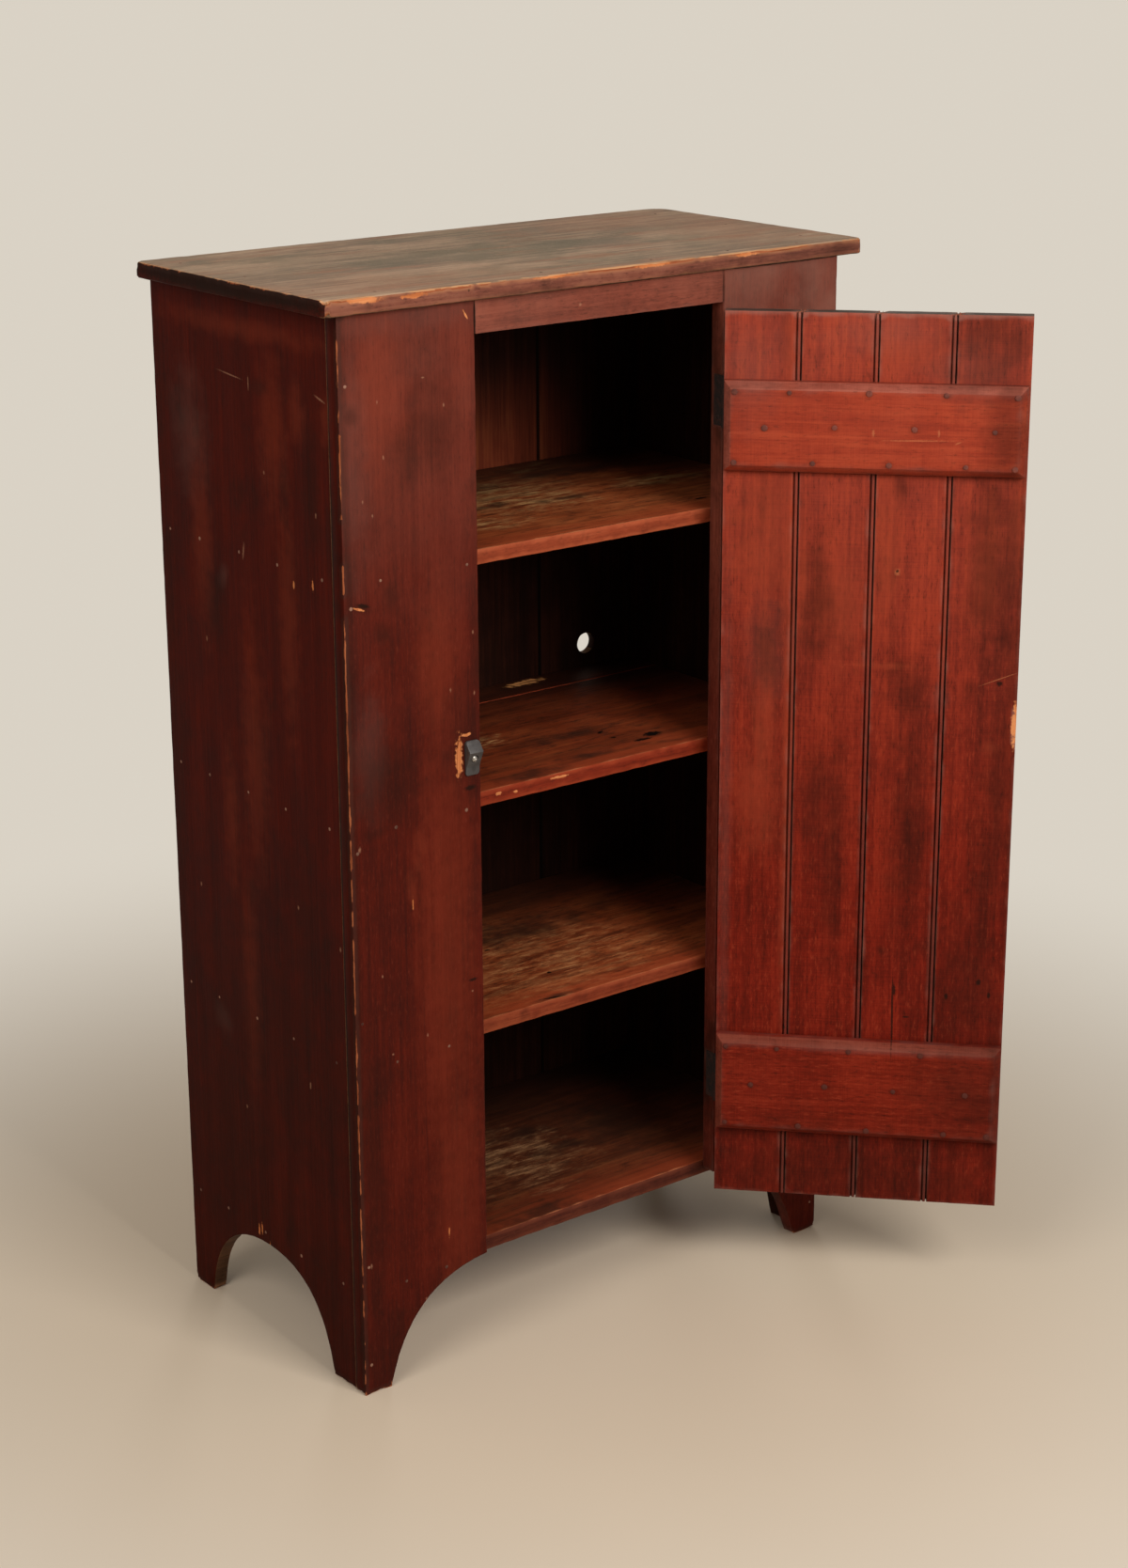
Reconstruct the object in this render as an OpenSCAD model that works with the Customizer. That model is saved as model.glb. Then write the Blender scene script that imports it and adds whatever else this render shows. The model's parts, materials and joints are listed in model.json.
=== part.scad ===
// Single door pine cupboard with shelves, bootjack feet and a batten door on butt hinges.
// Origin: centre of the case's footprint on the floor. +Z is up, the front faces -Y.

/* [Case] */
// Width of the case across the two side boards
case_w = 763; // [700:1:840]
// Depth of the case from the face of the stiles to the back
case_d = 408; // [370:1:450]
// Height of the case from the floor to the underside of the top
case_h = 1360; // [1330:1:1450]
// Thickness of the side boards
side_t = 20; // [18:0.5:24]
// Thickness of the stiles and of the top rail
stile_t = 22; // [22:0.5:26]
// Width of the left stile
left_stile_w = 192; // [170:1:210]
// Width of the right stile
right_stile_w = 190; // [170:1:210]
// Height of the rail between the stiles, under the top
rail_h = 41; // [30:1:60]

/* [Top] */
// Thickness of the top board
top_t = 20; // [16:0.5:25]
// Overhang of the top on the left
top_left = 25; // [10:1:40]
// Overhang of the top on the right
top_right = 38; // [10:1:45]
// Overhang of the top at the front, at the left end
top_front = 15; // [8:1:30]
// Overhang of the top at the front, at the right end: the board is not quite square
top_front_right = 7; // [5:1:30]
// How far the top stops short of the back
top_short = 6; // [0:1:12]
// Corner radius at the front and at the left of the back
top_corner_r = 10; // [4:1:20]
// Radius of the worn right corner at the back
worn_corner_r = 26; // [10:1:40]

/* [Shelves] */
// Thickness of the three shelves
shelf_t = 19; // [16:0.5:22]
// Thickness of the bottom board
bottom_t = 20; // [16:0.5:22]
// Top of the bottom board above the floor
bottom_top = 150; // [145:1:165]
// Top of the lower shelf above the floor
lower_top = 450; // [420:1:480]
// Top of the middle shelf above the floor
middle_top = 752; // [720:1:780]
// Top of the upper shelf above the floor
upper_top = 1057; // [1020:1:1080]
// Depth of the housings in the sides that hold the shelf ends
housing = 6; // [4:0.5:9]
// Width of the strip that widens the middle shelf at the back
strip_w = 60; // [40:1:90]

/* [Back] */
// Thickness of the back boards
back_t = 13; // [10:0.5:16]
// How far the back boards are let into each side
rabbet = 12; // [8:1:14]
// Radius of the knot hole in the fourth back board
knot_hole_r = 14.5; // [8:0.5:20]

/* [Feet] */
// Width of a foot of the stile, at the floor
stile_foot = 40; // [30:1:60]
// Depth of the front foot of a side, at the floor
front_foot = 71; // [55:1:85]
// Depth of the back foot of a side, at the floor
back_foot = 45; // [35:1:60]
// Height of the arch cut in a side
arch_h = 125; // [110:1:129]
// Height of the foot curve where it meets the inner edge of the stile
stile_arch_h = 140; // [120:1:150]

/* [Door] */
// Thickness of the door boards
door_t = 21; // [18:0.5:21]
// Gap between the door and the left stile
free_gap = 4; // [3.5:0.1:6]
// Gap between the door and the top rail
top_gap = 5; // [2:0.5:8]
// Place of the first joint, as a share of the door's width from the hinge edge
joint_1 = 0.251; // [0.22:0.001:0.28]
// Place of the second joint
joint_2 = 0.505; // [0.47:0.001:0.53]
// Place of the third joint
joint_3 = 0.756; // [0.72:0.001:0.78]
// Length of the tongues
tongue = 7; // [5:0.5:9]
// Thickness of the tongues
tongue_t = 6; // [5:0.5:7]
// Width of the bead beside each joint
bead_w = 4; // [3:0.5:6]
// Width of the groove beside the bead
quirk_w = 2; // [1:0.5:3]
// Depth of the groove beside the bead
quirk_d = 3.5; // [2:0.5:4.5]
// Width of the open joint between two boards
joint_gap = 1.4; // [0.6:0.2:2]

/* [Battens] */
// Thickness of the battens
batten_t = 20; // [16:1:22]
// Width of the bevel round a batten
bevel_w = 9; // [6:1:12]
// Depth of the bevel round a batten
bevel_t = 10; // [6:1:12]
// Distance of the upper batten from the top of the door
upper_batten_in = 84; // [70:1:95]
// Height of the upper batten
upper_batten_h = 113; // [100:1:120]
// Distance of the lower batten from the underside of the door
lower_batten_in = 95; // [85:1:105]
// Height of the lower batten
lower_batten_h = 136; // [120:1:145]

/* [Hinges] */
// How far the door stands open, from closed
door_open = 133.5; // [0:0.5:180]
// Gap between the door and the right stile
hinge_gap = 2.5; // [2.5:0.1:3]
// How far the hinge pins stand in front of the case
pin_out = 6; // [6:0.1:6.5]
// Length of a hinge
hinge_h = 64; // [60:1:70]
// Width of a leaf on the wood
leaf_w = 16.5; // [14:0.5:18]
// Thickness of a leaf
leaf_t = 2; // [1.5:0.1:2.2]
// Radius of the knuckles
knuckle_r = 4.5; // [4:0.1:4.6]
// Radius of the hinge pins
pin_r = 2.5; // [2:0.1:2.8]
// Running clearance of the pins in the door's knuckles
pin_play = 0.06; // [0.02:0.01:0.1]
// Distance of the middle of the upper hinge from the top of the door
upper_hinge_in = 118; // [90:1:140]
// Distance of the middle of the lower hinge from the underside of the door
lower_hinge_in = 151; // [120:1:170]

/* [Turn button] */
// Length of the button
button_l = 44; // [36:1:48]
// Width of the button
button_w = 20; // [16:1:20]
// How far the thumb ridge stands out
ridge_t = 12; // [8:0.5:14]
// Thickness of the two ends
button_end_t = 2.5; // [2:0.5:4]
// Distance of the screw from the edge of the door opening
button_in = 14; // [13:0.5:16]
// Height of the screw above the floor
button_z = 808; // [700:1:900]
// Radius of the screw's shank
button_screw_r = 2.4; // [2:0.1:3]

/* [Nails] */
// Radius of the nail heads on the battens
nail_head_r = 3.6; // [2:0.1:5]
// Radius of the small nail heads in the case
brad_head_r = 2.2; // [1.5:0.1:3]
// Width of a nail's shank
nail_w = 2.2; // [1.5:0.1:3]
// Length of the nails in the case
nail_l = 36; // [25:1:38]
// Length of the nails in the battens
batten_nail_l = 30; // [25:1:31]

/* [Hidden] */
$fn = 40;
// A hair's width that lets a cut pass through a face
cut = 1;
// Play left round the moving button
air = 0.3;
// Inner edges of the door opening, measured from the left of the case
opening_l = left_stile_w;
opening_r = case_w - right_stile_w;
opening_top = case_h - rail_h;
// Faces inside the case
back_face = case_d - back_t;
shelf_l = side_t - housing;
shelf_w = case_w - 2 * shelf_l;
back_bottom = bottom_top - bottom_t;
// Shelf tops and thicknesses, from the floor up
levels = [[bottom_top, bottom_t], [lower_top, shelf_t], [middle_top, shelf_t], [upper_top, shelf_t]];
// Nail heights at the middle of each shelf
nail_levels = [for (l = levels) l[0] - l[1] / 2];
// Joints between the back boards, measured from the left of the case
back_joints = [side_t - rabbet, 0.269 * case_w, 0.524 * case_w, 0.767 * case_w, case_w - side_t + rabbet];
back_gap = 1.2;
// Middle of the knot hole
knot_hole = [0.874 * case_w, 784];
// Sizes of the door
door_w = opening_r - opening_l - hinge_gap - free_gap;
door_bottom = back_bottom + 1;
door_top = opening_top - top_gap;
door_h = door_top - door_bottom;
// Door joints, from the hinge edge to the free edge
door_joints = door_w * [0, joint_1, joint_2, joint_3, 1];
hinge_edge = opening_r - hinge_gap;
// Axis of the hinge pins
pin_x = opening_r - hinge_gap / 2;
pin_y = -pin_out;
upper_hinge_z = door_top - upper_hinge_in;
lower_hinge_z = door_bottom + lower_hinge_in;
knuckles = 5;
knuckle_h = hinge_h / knuckles;
knuckle_air = 0.3;
pin_head_r = 3.4;
pin_head_h = 1.6;
// Wood screws of the hinges: head radius, head depth, shank radius and length
screw_head_r = 3.4;
screw_head_h = 1.6;
screw_r = 1.6;
screw_l = 15;
screw_slot = 0.8;
hinge_screws = [-22, 0, 22];
screw_row = 9;
// Height of the head of the button's screw, and its seat
button_head_r = 4.2;
button_head_h = 2.4;
button_seat = 6.5;
button_x = opening_l - button_in;
// Heights of the battens, and how far they stop short of the hinge edge and of the free edge
upper_batten_z = door_top - upper_batten_in - upper_batten_h;
lower_batten_z = door_bottom + lower_batten_in;
batten_inset = 1;
upper_batten_short = 2.5;
lower_batten_short = 0.5;
// How the arch of a side bends: out from a foot and up, and along the crown
front_leg_bend = [15, 72];
front_crown_bend = 51;
back_leg_bend = [5, 60];
back_crown_bend = 41;
// The same for the foot curve of a stile, from the inner end of the foot
stile_leg_bend = [16, 64];
stile_crown_bend = [48, 130];
// Nail places on a batten, as shares of its length from the hinge edge and of its height
upper_batten_nails = [
    [0.04, 0.89], [0.22, 0.89], [0.48, 0.90], [0.73, 0.90], [0.96, 0.89],
    [0.14, 0.50], [0.37, 0.52], [0.63, 0.52], [0.89, 0.51],
    [0.04, 0.11], [0.30, 0.12], [0.55, 0.12], [0.80, 0.12], [0.96, 0.11]
];
lower_batten_nails = [
    [0.04, 0.90], [0.22, 0.90], [0.47, 0.91], [0.72, 0.91],
    [0.13, 0.51], [0.39, 0.53], [0.63, 0.52], [0.88, 0.52],
    [0.04, 0.10], [0.30, 0.10], [0.54, 0.09], [0.81, 0.10], [0.96, 0.10]
];
// Nail places in the case
side_nail_y = [44, 140, 225, 316, case_d - 22];
// Nails of a stile into each board behind it, from the stile's outer edge, the bottom board's first
stile_shelf_nails = [[66, 128], [60, 138], [66, 170], [52, 176]];
// Nails of a stile into the side's edge
stile_nail_z = case_h * [0.03, 0.13, 0.37, 0.53, 0.75, 0.94];
top_nail_x = case_w * [0.08, 0.23, 0.39, 0.61, 0.77, 0.92];
top_nail_y = [60, 205, 350];

// Point of a cubic curve with four control points
function curve(p, t) = pow(1 - t, 3) * p[0] + 3 * pow(1 - t, 2) * t * p[1]
    + 3 * (1 - t) * t * t * p[2] + t * t * t * p[3];
function curve_points(p, steps) = [for (i = [0 : steps]) curve(p, i / steps)];
// Quarter round of a corner, from angle a to a + 90
function corner(c, r, a, steps = 8) =
    [for (i = [0 : steps]) c + r * [cos(a + 90 * i / steps), sin(a + 90 * i / steps)]];

// Moves a piece drawn from the case's front left corner to the origin's frame
module in_case() {
    translate([-case_w / 2, -case_d / 2, 0]) children();
}

// Swings a piece drawn on the closed door to where the door stands
module on_door() {
    in_case()
        translate([pin_x, pin_y, 0])
            rotate([0, 0, door_open])
                translate([-pin_x, -pin_y, 0])
                    children();
}

// Raises a flat outline drawn in x and z, and gives it thickness towards the back
module upright(thickness) {
    translate([0, thickness, 0]) rotate([90, 0, 0]) linear_extrude(thickness) children();
}

// Raises a flat outline drawn in y and z, and gives it thickness to the right
module upright_side(thickness) {
    rotate([90, 0, 90]) linear_extrude(thickness) children();
}

// Case

module top_board() {
    x0 = -top_left;
    x1 = case_w + top_right;
    y_left = -top_front;
    y_right = -top_front_right;
    y1 = case_d - top_short;
    r = top_corner_r;
    w = worn_corner_r;
    color([0.45, 0.38, 0.28])
        in_case()
            translate([0, 0, case_h])
                linear_extrude(top_t)
                    polygon(concat(
                        corner([x1 - r, y_right + r], r, 270),
                        corner([x1 - w, y1 - w], w, 0),
                        corner([x0 + r, y1 - r], r, 90),
                        corner([x0 + r, y_left + r], r, 180)));
}

// Arch between the feet of a side, drawn in y and z: a steep leg that rounds into the crown
module side_arch() {
    front = front_foot;
    back = case_d - back_foot;
    crown = (front + back) / 2;
    front_leg = curve_points([[front, 0], [front, 0] + front_leg_bend,
        [front + front_crown_bend, arch_h], [crown, arch_h]], 14);
    back_leg = curve_points([[crown, arch_h], [back - back_crown_bend, arch_h],
        [back - back_leg_bend[0], back_leg_bend[1]], [back, 0]], 14);
    polygon(concat([[front, -cut]], front_leg, back_leg, [[back, -cut]]));
}

// One side board, drawn as the left one
module side_board() {
    difference() {
        translate([0, stile_t, 0]) cube([side_t, case_d - stile_t, case_h]);
        translate([-cut, 0, 0]) upright_side(side_t + 2 * cut) side_arch();
        for (l = levels)
            translate([shelf_l, stile_t - cut, l[0] - l[1]])
                cube([side_t, back_face - stile_t + cut, l[1]]);
        translate([side_t - rabbet, back_face, back_bottom])
            cube([side_t, back_t + cut, case_h]);
    }
}

module left_side() {
    color([0.24, 0.06, 0.04]) in_case() side_board();
}

module right_side() {
    color([0.24, 0.06, 0.04]) in_case() translate([case_w, 0, 0]) mirror([1, 0, 0]) side_board();
}

// Stile of a given width with its foot curve, drawn with the outer edge at x = 0
module stile_blank(w) {
    start = [stile_foot, 0];
    foot = curve_points([start, start + stile_leg_bend, start + stile_crown_bend, [w, stile_arch_h]], 16);
    difference() {
        cube([w, stile_t, case_h]);
        translate([0, -cut, 0])
            upright(stile_t + 2 * cut)
                polygon(concat([[stile_foot, -cut]], foot, [[w + cut, stile_arch_h], [w + cut, -cut]]));
    }
}

module left_stile() {
    color([0.42, 0.12, 0.07]) in_case() stile_blank(left_stile_w);
}

module right_stile() {
    color([0.42, 0.12, 0.07])
        in_case()
            difference() {
                translate([case_w, 0, 0]) mirror([1, 0, 0]) stile_blank(right_stile_w);
                for (z = [upper_hinge_z, lower_hinge_z])
                    translate([opening_r - cut, -cut, z - hinge_h / 2])
                        cube([leaf_t + cut, leaf_w + cut, hinge_h]);
            }
}

module top_rail() {
    color([0.42, 0.12, 0.07])
        in_case()
            translate([opening_l, 0, opening_top])
                cube([opening_r - opening_l, stile_t, rail_h]);
}

// Shelves

// A board housed in both sides, with its upper face at z
module shelf_board(z, t, y0, y1) {
    color([0.50, 0.33, 0.16])
        in_case()
            translate([shelf_l, y0, z - t])
                cube([shelf_w, y1 - y0, t]);
}

module upper_shelf() {
    shelf_board(upper_top, shelf_t, stile_t, back_face);
}

module middle_shelf() {
    shelf_board(middle_top, shelf_t, stile_t, back_face - strip_w - 1);
}

module middle_shelf_strip() {
    shelf_board(middle_top, shelf_t, back_face - strip_w, back_face);
}

module lower_shelf() {
    shelf_board(lower_top, shelf_t, stile_t, back_face);
}

module bottom_board() {
    shelf_board(bottom_top, bottom_t, stile_t, back_face);
}

// Back

// Back board number i, counted from the left
module back_board(i) {
    x0 = back_joints[i] + (i == 0 ? 0 : back_gap / 2);
    x1 = back_joints[i + 1] - (i == 3 ? 0 : back_gap / 2);
    color([0.34, 0.22, 0.13])
        in_case()
            difference() {
                translate([x0, back_face, back_bottom]) cube([x1 - x0, back_t, case_h - back_bottom]);
                translate([knot_hole[0], back_face - cut, knot_hole[1]])
                    rotate([-90, 0, 0]) cylinder(r = knot_hole_r, h = back_t + 2 * cut);
            }
}

// Nails

// Small nail with its head's face at the origin, driven along -Z
module brad(l = nail_l) {
    translate([0, 0, -1.2]) cylinder(r1 = nail_w / 2, r2 = brad_head_r, h = 1.2, $fn = 16);
    translate([-nail_w / 2, -nail_w / 2, -l]) cube([nail_w, nail_w, l - 1]);
}

module top_nails() {
    color([0.2, 0.18, 0.17])
        in_case()
            translate([0, 0, case_h + top_t]) {
                for (x = [side_t / 2, case_w - side_t / 2], y = top_nail_y) translate([x, y, 0]) brad();
                for (x = top_nail_x) translate([x, stile_t / 2, 0]) brad();
            }
}

module side_nails() {
    color([0.62, 0.45, 0.36])
        in_case()
            for (z = nail_levels, y = side_nail_y) {
                translate([0, y, z]) rotate([0, -90, 0]) brad();
                translate([case_w, y, z]) rotate([0, 90, 0]) brad();
            }
}

module stile_nails() {
    color([0.62, 0.45, 0.36])
        in_case() {
            for (x = [side_t / 2, case_w - side_t / 2], z = stile_nail_z)
                translate([x, 0, z]) rotate([90, 0, 0]) brad();
            for (i = [0 : 3], x = stile_shelf_nails[i]) {
                translate([x, 0, nail_levels[i]]) rotate([90, 0, 0]) brad();
                translate([case_w - x, 0, nail_levels[i]]) rotate([90, 0, 0]) brad();
            }
        }
}

module back_nails() {
    color([0.2, 0.18, 0.17])
        in_case()
            for (i = [0 : 3], z = nail_levels, f = [0.25, 0.75])
                translate([back_joints[i] + f * (back_joints[i + 1] - back_joints[i]), case_d, z])
                    rotate([-90, 0, 0]) brad(back_t + 20);
}

// Hinges, drawn as they lie when the door is closed

// Knuckles of a leaf: the odd or the even ones of the row, bored for the pin
module leaf(z, x, own, bore_r, screw_side) {
    difference() {
        union() {
            translate([x, 0, z - hinge_h / 2]) cube([leaf_t, leaf_w, hinge_h]);
            for (k = own) {
                z0 = z - hinge_h / 2 + k * knuckle_h;
                lower_air = k == 0 ? 0 : knuckle_air / 2;
                upper_air = k == knuckles - 1 ? 0 : knuckle_air / 2;
                h = knuckle_h - lower_air - upper_air;
                translate([0, 0, z0 + lower_air]) {
                    translate([pin_x, pin_y, 0]) cylinder(r = knuckle_r, h = h);
                    translate([x, pin_y, 0]) cube([leaf_t, pin_out + cut, h]);
                }
            }
        }
        translate([pin_x, pin_y, z - hinge_h]) cylinder(r = bore_r, h = 2 * hinge_h);
        for (s = hinge_screws)
            translate([x + leaf_t / 2, screw_row, z + s])
                rotate([0, 90, 0]) {
                    translate([0, 0, -leaf_t]) cylinder(r = screw_r, h = 2 * leaf_t);
                    translate([0, 0, screw_side * (leaf_t / 2 - screw_head_h)])
                        mirror([0, 0, screw_side < 0 ? 1 : 0])
                            cylinder(r1 = screw_r, r2 = screw_head_r, h = screw_head_h);
                }
    }
}

// Countersunk screw with its slotted face at the origin, driven along -Z
module wood_screw() {
    difference() {
        union() {
            translate([0, 0, -screw_head_h]) cylinder(r1 = screw_r, r2 = screw_head_r, h = screw_head_h);
            translate([0, 0, -screw_head_h - screw_l + 4]) cylinder(r = screw_r, h = screw_l - 4);
            translate([0, 0, -screw_head_h - screw_l]) cylinder(r1 = 0.2, r2 = screw_r, h = 4);
        }
        translate([-screw_head_r, -screw_slot / 2, -0.7]) cube([2 * screw_head_r, screw_slot, cut]);
    }
}

module hinge_pin(z) {
    color([0.22, 0.20, 0.19])
        in_case()
            translate([pin_x, pin_y, z]) {
                translate([0, 0, -hinge_h / 2]) cylinder(r = pin_r, h = hinge_h);
                translate([0, 0, hinge_h / 2]) cylinder(r1 = pin_head_r, r2 = pin_head_r - 1, h = pin_head_h);
                translate([0, 0, -hinge_h / 2 - pin_head_h])
                    cylinder(r1 = pin_head_r - 1, r2 = pin_head_r, h = pin_head_h);
            }
}

module stile_leaf(z) {
    color([0.22, 0.20, 0.19]) in_case() leaf(z, opening_r, [0, 2, 4], pin_r, -1);
}

module door_leaf(z) {
    color([0.22, 0.20, 0.19]) on_door() leaf(z, hinge_edge - leaf_t, [1, 3], pin_r + pin_play, 1);
}

module stile_leaf_screws() {
    color([0.30, 0.28, 0.26])
        in_case()
            for (z = [upper_hinge_z, lower_hinge_z], s = hinge_screws)
                translate([opening_r, screw_row, z + s]) rotate([0, -90, 0]) wood_screw();
}

module door_leaf_screws() {
    color([0.30, 0.28, 0.26])
        on_door()
            for (z = [upper_hinge_z, lower_hinge_z], s = hinge_screws)
                translate([hinge_edge, screw_row, z + s]) rotate([0, 90, 0]) wood_screw();
}

// Door, drawn closed

// Cross-section of door board number i: tongue and bead on one edge, groove on the other.
// x runs from the hinge edge to the free edge, y from the front of the door to its inside.
module door_board_outline(i) {
    s0 = door_joints[i] + (i == 0 ? 0 : joint_gap / 2);
    s1 = door_joints[i + 1] - (i == 3 ? 0 : joint_gap / 2);
    mid = door_t / 2;
    has_tongue = i < 3;
    has_groove = i > 0;
    quirk_x = s1 - bead_w - quirk_w;
    difference() {
        union() {
            translate([s0, 0]) square([s1 - s0, door_t]);
            if (has_tongue) translate([s1 - cut, mid - tongue_t / 2]) square([tongue + cut, tongue_t]);
        }
        if (has_tongue) {
            translate([quirk_x, door_t - bead_w / 2]) square([bead_w + quirk_w + cut, bead_w]);
            translate([quirk_x, door_t - quirk_d]) square([quirk_w, quirk_d]);
        }
        if (has_groove)
            translate([s0 - cut, mid - tongue_t / 2 - 0.2])
                square([tongue + cut + 0.3, tongue_t + 0.4]);
    }
    if (has_tongue) translate([s1 - bead_w / 2, door_t - bead_w / 2]) circle(r = bead_w / 2);
}

module door_board(i) {
    color([0.62, 0.20, 0.09])
        on_door()
            difference() {
                translate([hinge_edge, 0, door_bottom])
                    mirror([1, 0, 0])
                        linear_extrude(door_h) door_board_outline(i);
                if (i == 0)
                    for (z = [upper_hinge_z, lower_hinge_z])
                        translate([hinge_edge - leaf_t, -cut, z - hinge_h / 2])
                            cube([leaf_t + cut, leaf_w + cut, hinge_h]);
            }
}

// Outline of a bevelled board: a is its length or height, the bevel is on the inner face
module bevel_outline(a) {
    polygon([[0, 0], [a, 0], [a, batten_t - bevel_t], [a - bevel_w, batten_t],
        [bevel_w, batten_t], [0, batten_t - bevel_t]]);
}

// Batten across the inside of the door, bevelled on all four edges
module batten(z, h, length) {
    color([0.66, 0.22, 0.10])
        on_door()
            translate([hinge_edge - batten_inset - length, door_t, z])
                intersection() {
                    linear_extrude(h) bevel_outline(length);
                    rotate([90, 0, 90]) linear_extrude(length) mirror([1, -1, 0]) bevel_outline(h);
                }
}

module upper_batten() {
    batten(upper_batten_z, upper_batten_h, door_w - batten_inset - upper_batten_short);
}

module lower_batten() {
    batten(lower_batten_z, lower_batten_h, door_w - batten_inset - lower_batten_short);
}

// Cut nail with a low rounded head that stands on the wood, driven along -Z
module cut_nail() {
    rotate_extrude($fn = 20) polygon([[0, -1], [nail_head_r - 0.6, -1], [nail_head_r, 0],
        [nail_head_r - 1, 0.5], [nail_head_r / 3, 0.9], [0, 0.9]]);
    translate([-nail_w / 2, -nail_w / 2, -batten_nail_l]) cube([nail_w, nail_w, batten_nail_l]);
}

// Nails of one batten, at their shares of its length and height
module nails_of_batten(places, z, h) {
    for (p = places)
        translate([hinge_edge - p[0] * door_w, door_t + batten_t, z + p[1] * h])
            rotate([-90, 0, 0]) cut_nail();
}

module batten_nails() {
    color([0.17, 0.15, 0.15])
        on_door() {
            nails_of_batten(upper_batten_nails, upper_batten_z, upper_batten_h);
            nails_of_batten(lower_batten_nails, lower_batten_z, lower_batten_h);
        }
}

// Turn button, drawn from its screw with its length along Z and its back on the stile

module turn_button() {
    half = button_l / 2;
    seat_r = button_head_r + air;
    color([0.20, 0.19, 0.19])
        in_case()
            translate([button_x, 0, button_z])
                difference() {
                    intersection() {
                        translate([-button_w / 2, 0, 0])
                            upright_side(button_w)
                                polygon([[-air, -half], [-air - button_end_t, -half],
                                    [-air - button_end_t - 1, -half / 2], [-air - ridge_t, half * 0.4],
                                    [-air - button_end_t, half], [-air, half]]);
                        translate([0, -ridge_t - 2, 0])
                            upright(ridge_t + 2)
                                union() {
                                    square([button_w, button_l - 8], center = true);
                                    square([button_w - 8, button_l], center = true);
                                    for (x = [-1, 1], z = [-1, 1])
                                        translate([x * (button_w / 2 - 4), z * (half - 4)]) circle(r = 4);
                                }
                    }
                    rotate([90, 0, 0])
                        translate([0, 0, -cut])
                            cylinder(r = button_screw_r + pin_play, h = 2 * ridge_t);
                    translate([0, -air - button_seat + button_head_h + air, 0])
                        rotate([90, 0, 0]) cylinder(r = seat_r, h = 2 * ridge_t);
                }
}

// Slotted round-head screw that holds the button to the left stile
module button_screw() {
    color([0.75, 0.73, 0.68])
        in_case()
            translate([button_x, -air - button_seat + button_head_h, button_z])
                rotate([90, 0, 0])
                    difference() {
                        union() {
                            cylinder(r = button_head_r, h = 0.4 * button_head_h);
                            translate([0, 0, 0.4 * button_head_h])
                                cylinder(r1 = button_head_r, r2 = 0.55 * button_head_r, h = 0.6 * button_head_h);
                            translate([0, 0, -22]) cylinder(r = button_screw_r, h = 22);
                        }
                        translate([-button_head_r, -0.5, button_head_h - 0.9])
                            cube([2 * button_head_r, 1, 2]);
                    }
}

top_board();
left_side();
right_side();
left_stile();
right_stile();
top_rail();
upper_shelf();
middle_shelf();
middle_shelf_strip();
lower_shelf();
bottom_board();
back_board(0);  // back_board_1
back_board(1);  // back_board_2
back_board(2);  // back_board_3
back_board(3);  // back_board_4
top_nails();
side_nails();
stile_nails();
back_nails();
stile_leaf(upper_hinge_z);  // upper_stile_leaf
stile_leaf(lower_hinge_z);  // lower_stile_leaf
hinge_pin(upper_hinge_z);  // upper_hinge_pin
hinge_pin(lower_hinge_z);  // lower_hinge_pin
stile_leaf_screws();
button_screw();
door_board(0);  // door_board_1
door_board(1);  // door_board_2
door_board(2);  // door_board_3
door_board(3);  // door_board_4
upper_batten();
lower_batten();
batten_nails();
door_leaf(upper_hinge_z);  // upper_door_leaf
door_leaf(lower_hinge_z);  // lower_door_leaf
door_leaf_screws();
turn_button();
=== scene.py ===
"""Looks of an old painted pine cupboard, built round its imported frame.

Everything is in metres, +Z up, with the front of the case towards -Y. Marks on the wood are placed in
millimetres: on the case from its front left corner at the floor, on the door from its hinge edge.
"""
import json
import math

import bmesh
import bpy
from mathutils import Matrix, Quaternion, Vector, geometry, kdtree, noise


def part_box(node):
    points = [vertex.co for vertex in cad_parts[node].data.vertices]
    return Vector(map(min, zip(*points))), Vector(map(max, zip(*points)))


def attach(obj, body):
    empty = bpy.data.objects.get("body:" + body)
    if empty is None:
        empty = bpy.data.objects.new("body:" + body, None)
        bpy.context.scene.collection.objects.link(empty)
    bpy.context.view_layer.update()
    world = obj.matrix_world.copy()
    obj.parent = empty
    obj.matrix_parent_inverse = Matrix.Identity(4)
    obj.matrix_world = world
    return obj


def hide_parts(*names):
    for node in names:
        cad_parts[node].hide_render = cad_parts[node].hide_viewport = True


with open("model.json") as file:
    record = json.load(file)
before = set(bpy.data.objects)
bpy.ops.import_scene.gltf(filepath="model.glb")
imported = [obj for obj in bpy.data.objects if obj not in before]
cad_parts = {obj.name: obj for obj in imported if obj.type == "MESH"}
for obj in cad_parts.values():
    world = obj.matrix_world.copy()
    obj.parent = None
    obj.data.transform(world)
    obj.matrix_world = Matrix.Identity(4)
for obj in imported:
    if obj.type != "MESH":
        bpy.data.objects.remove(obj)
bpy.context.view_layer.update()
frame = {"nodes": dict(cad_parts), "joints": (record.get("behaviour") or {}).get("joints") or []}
MM = 0.001
CLOSE = 1e-5  # points within this distance of each other lie at one place
FLAT_BELOW = math.radians(0.6)  # faces that meet at less than this are one flat face
SMOOTH_BELOW = math.radians(24)  # faces that meet at less than this are shaded as one

# Corner of the case that marks are measured from
CORNER = Vector((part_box("left_side")[0].x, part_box("left_stile")[0].y, 0))

# The door's hinge, and how far the door stands open
HINGE = next(joint for joint in frame["joints"] if joint["name"] == "door_hinge")
PIN = Vector(HINGE["pos_m"])
DOOR_OPEN = -math.radians(HINGE["range_deg"][0])

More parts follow.
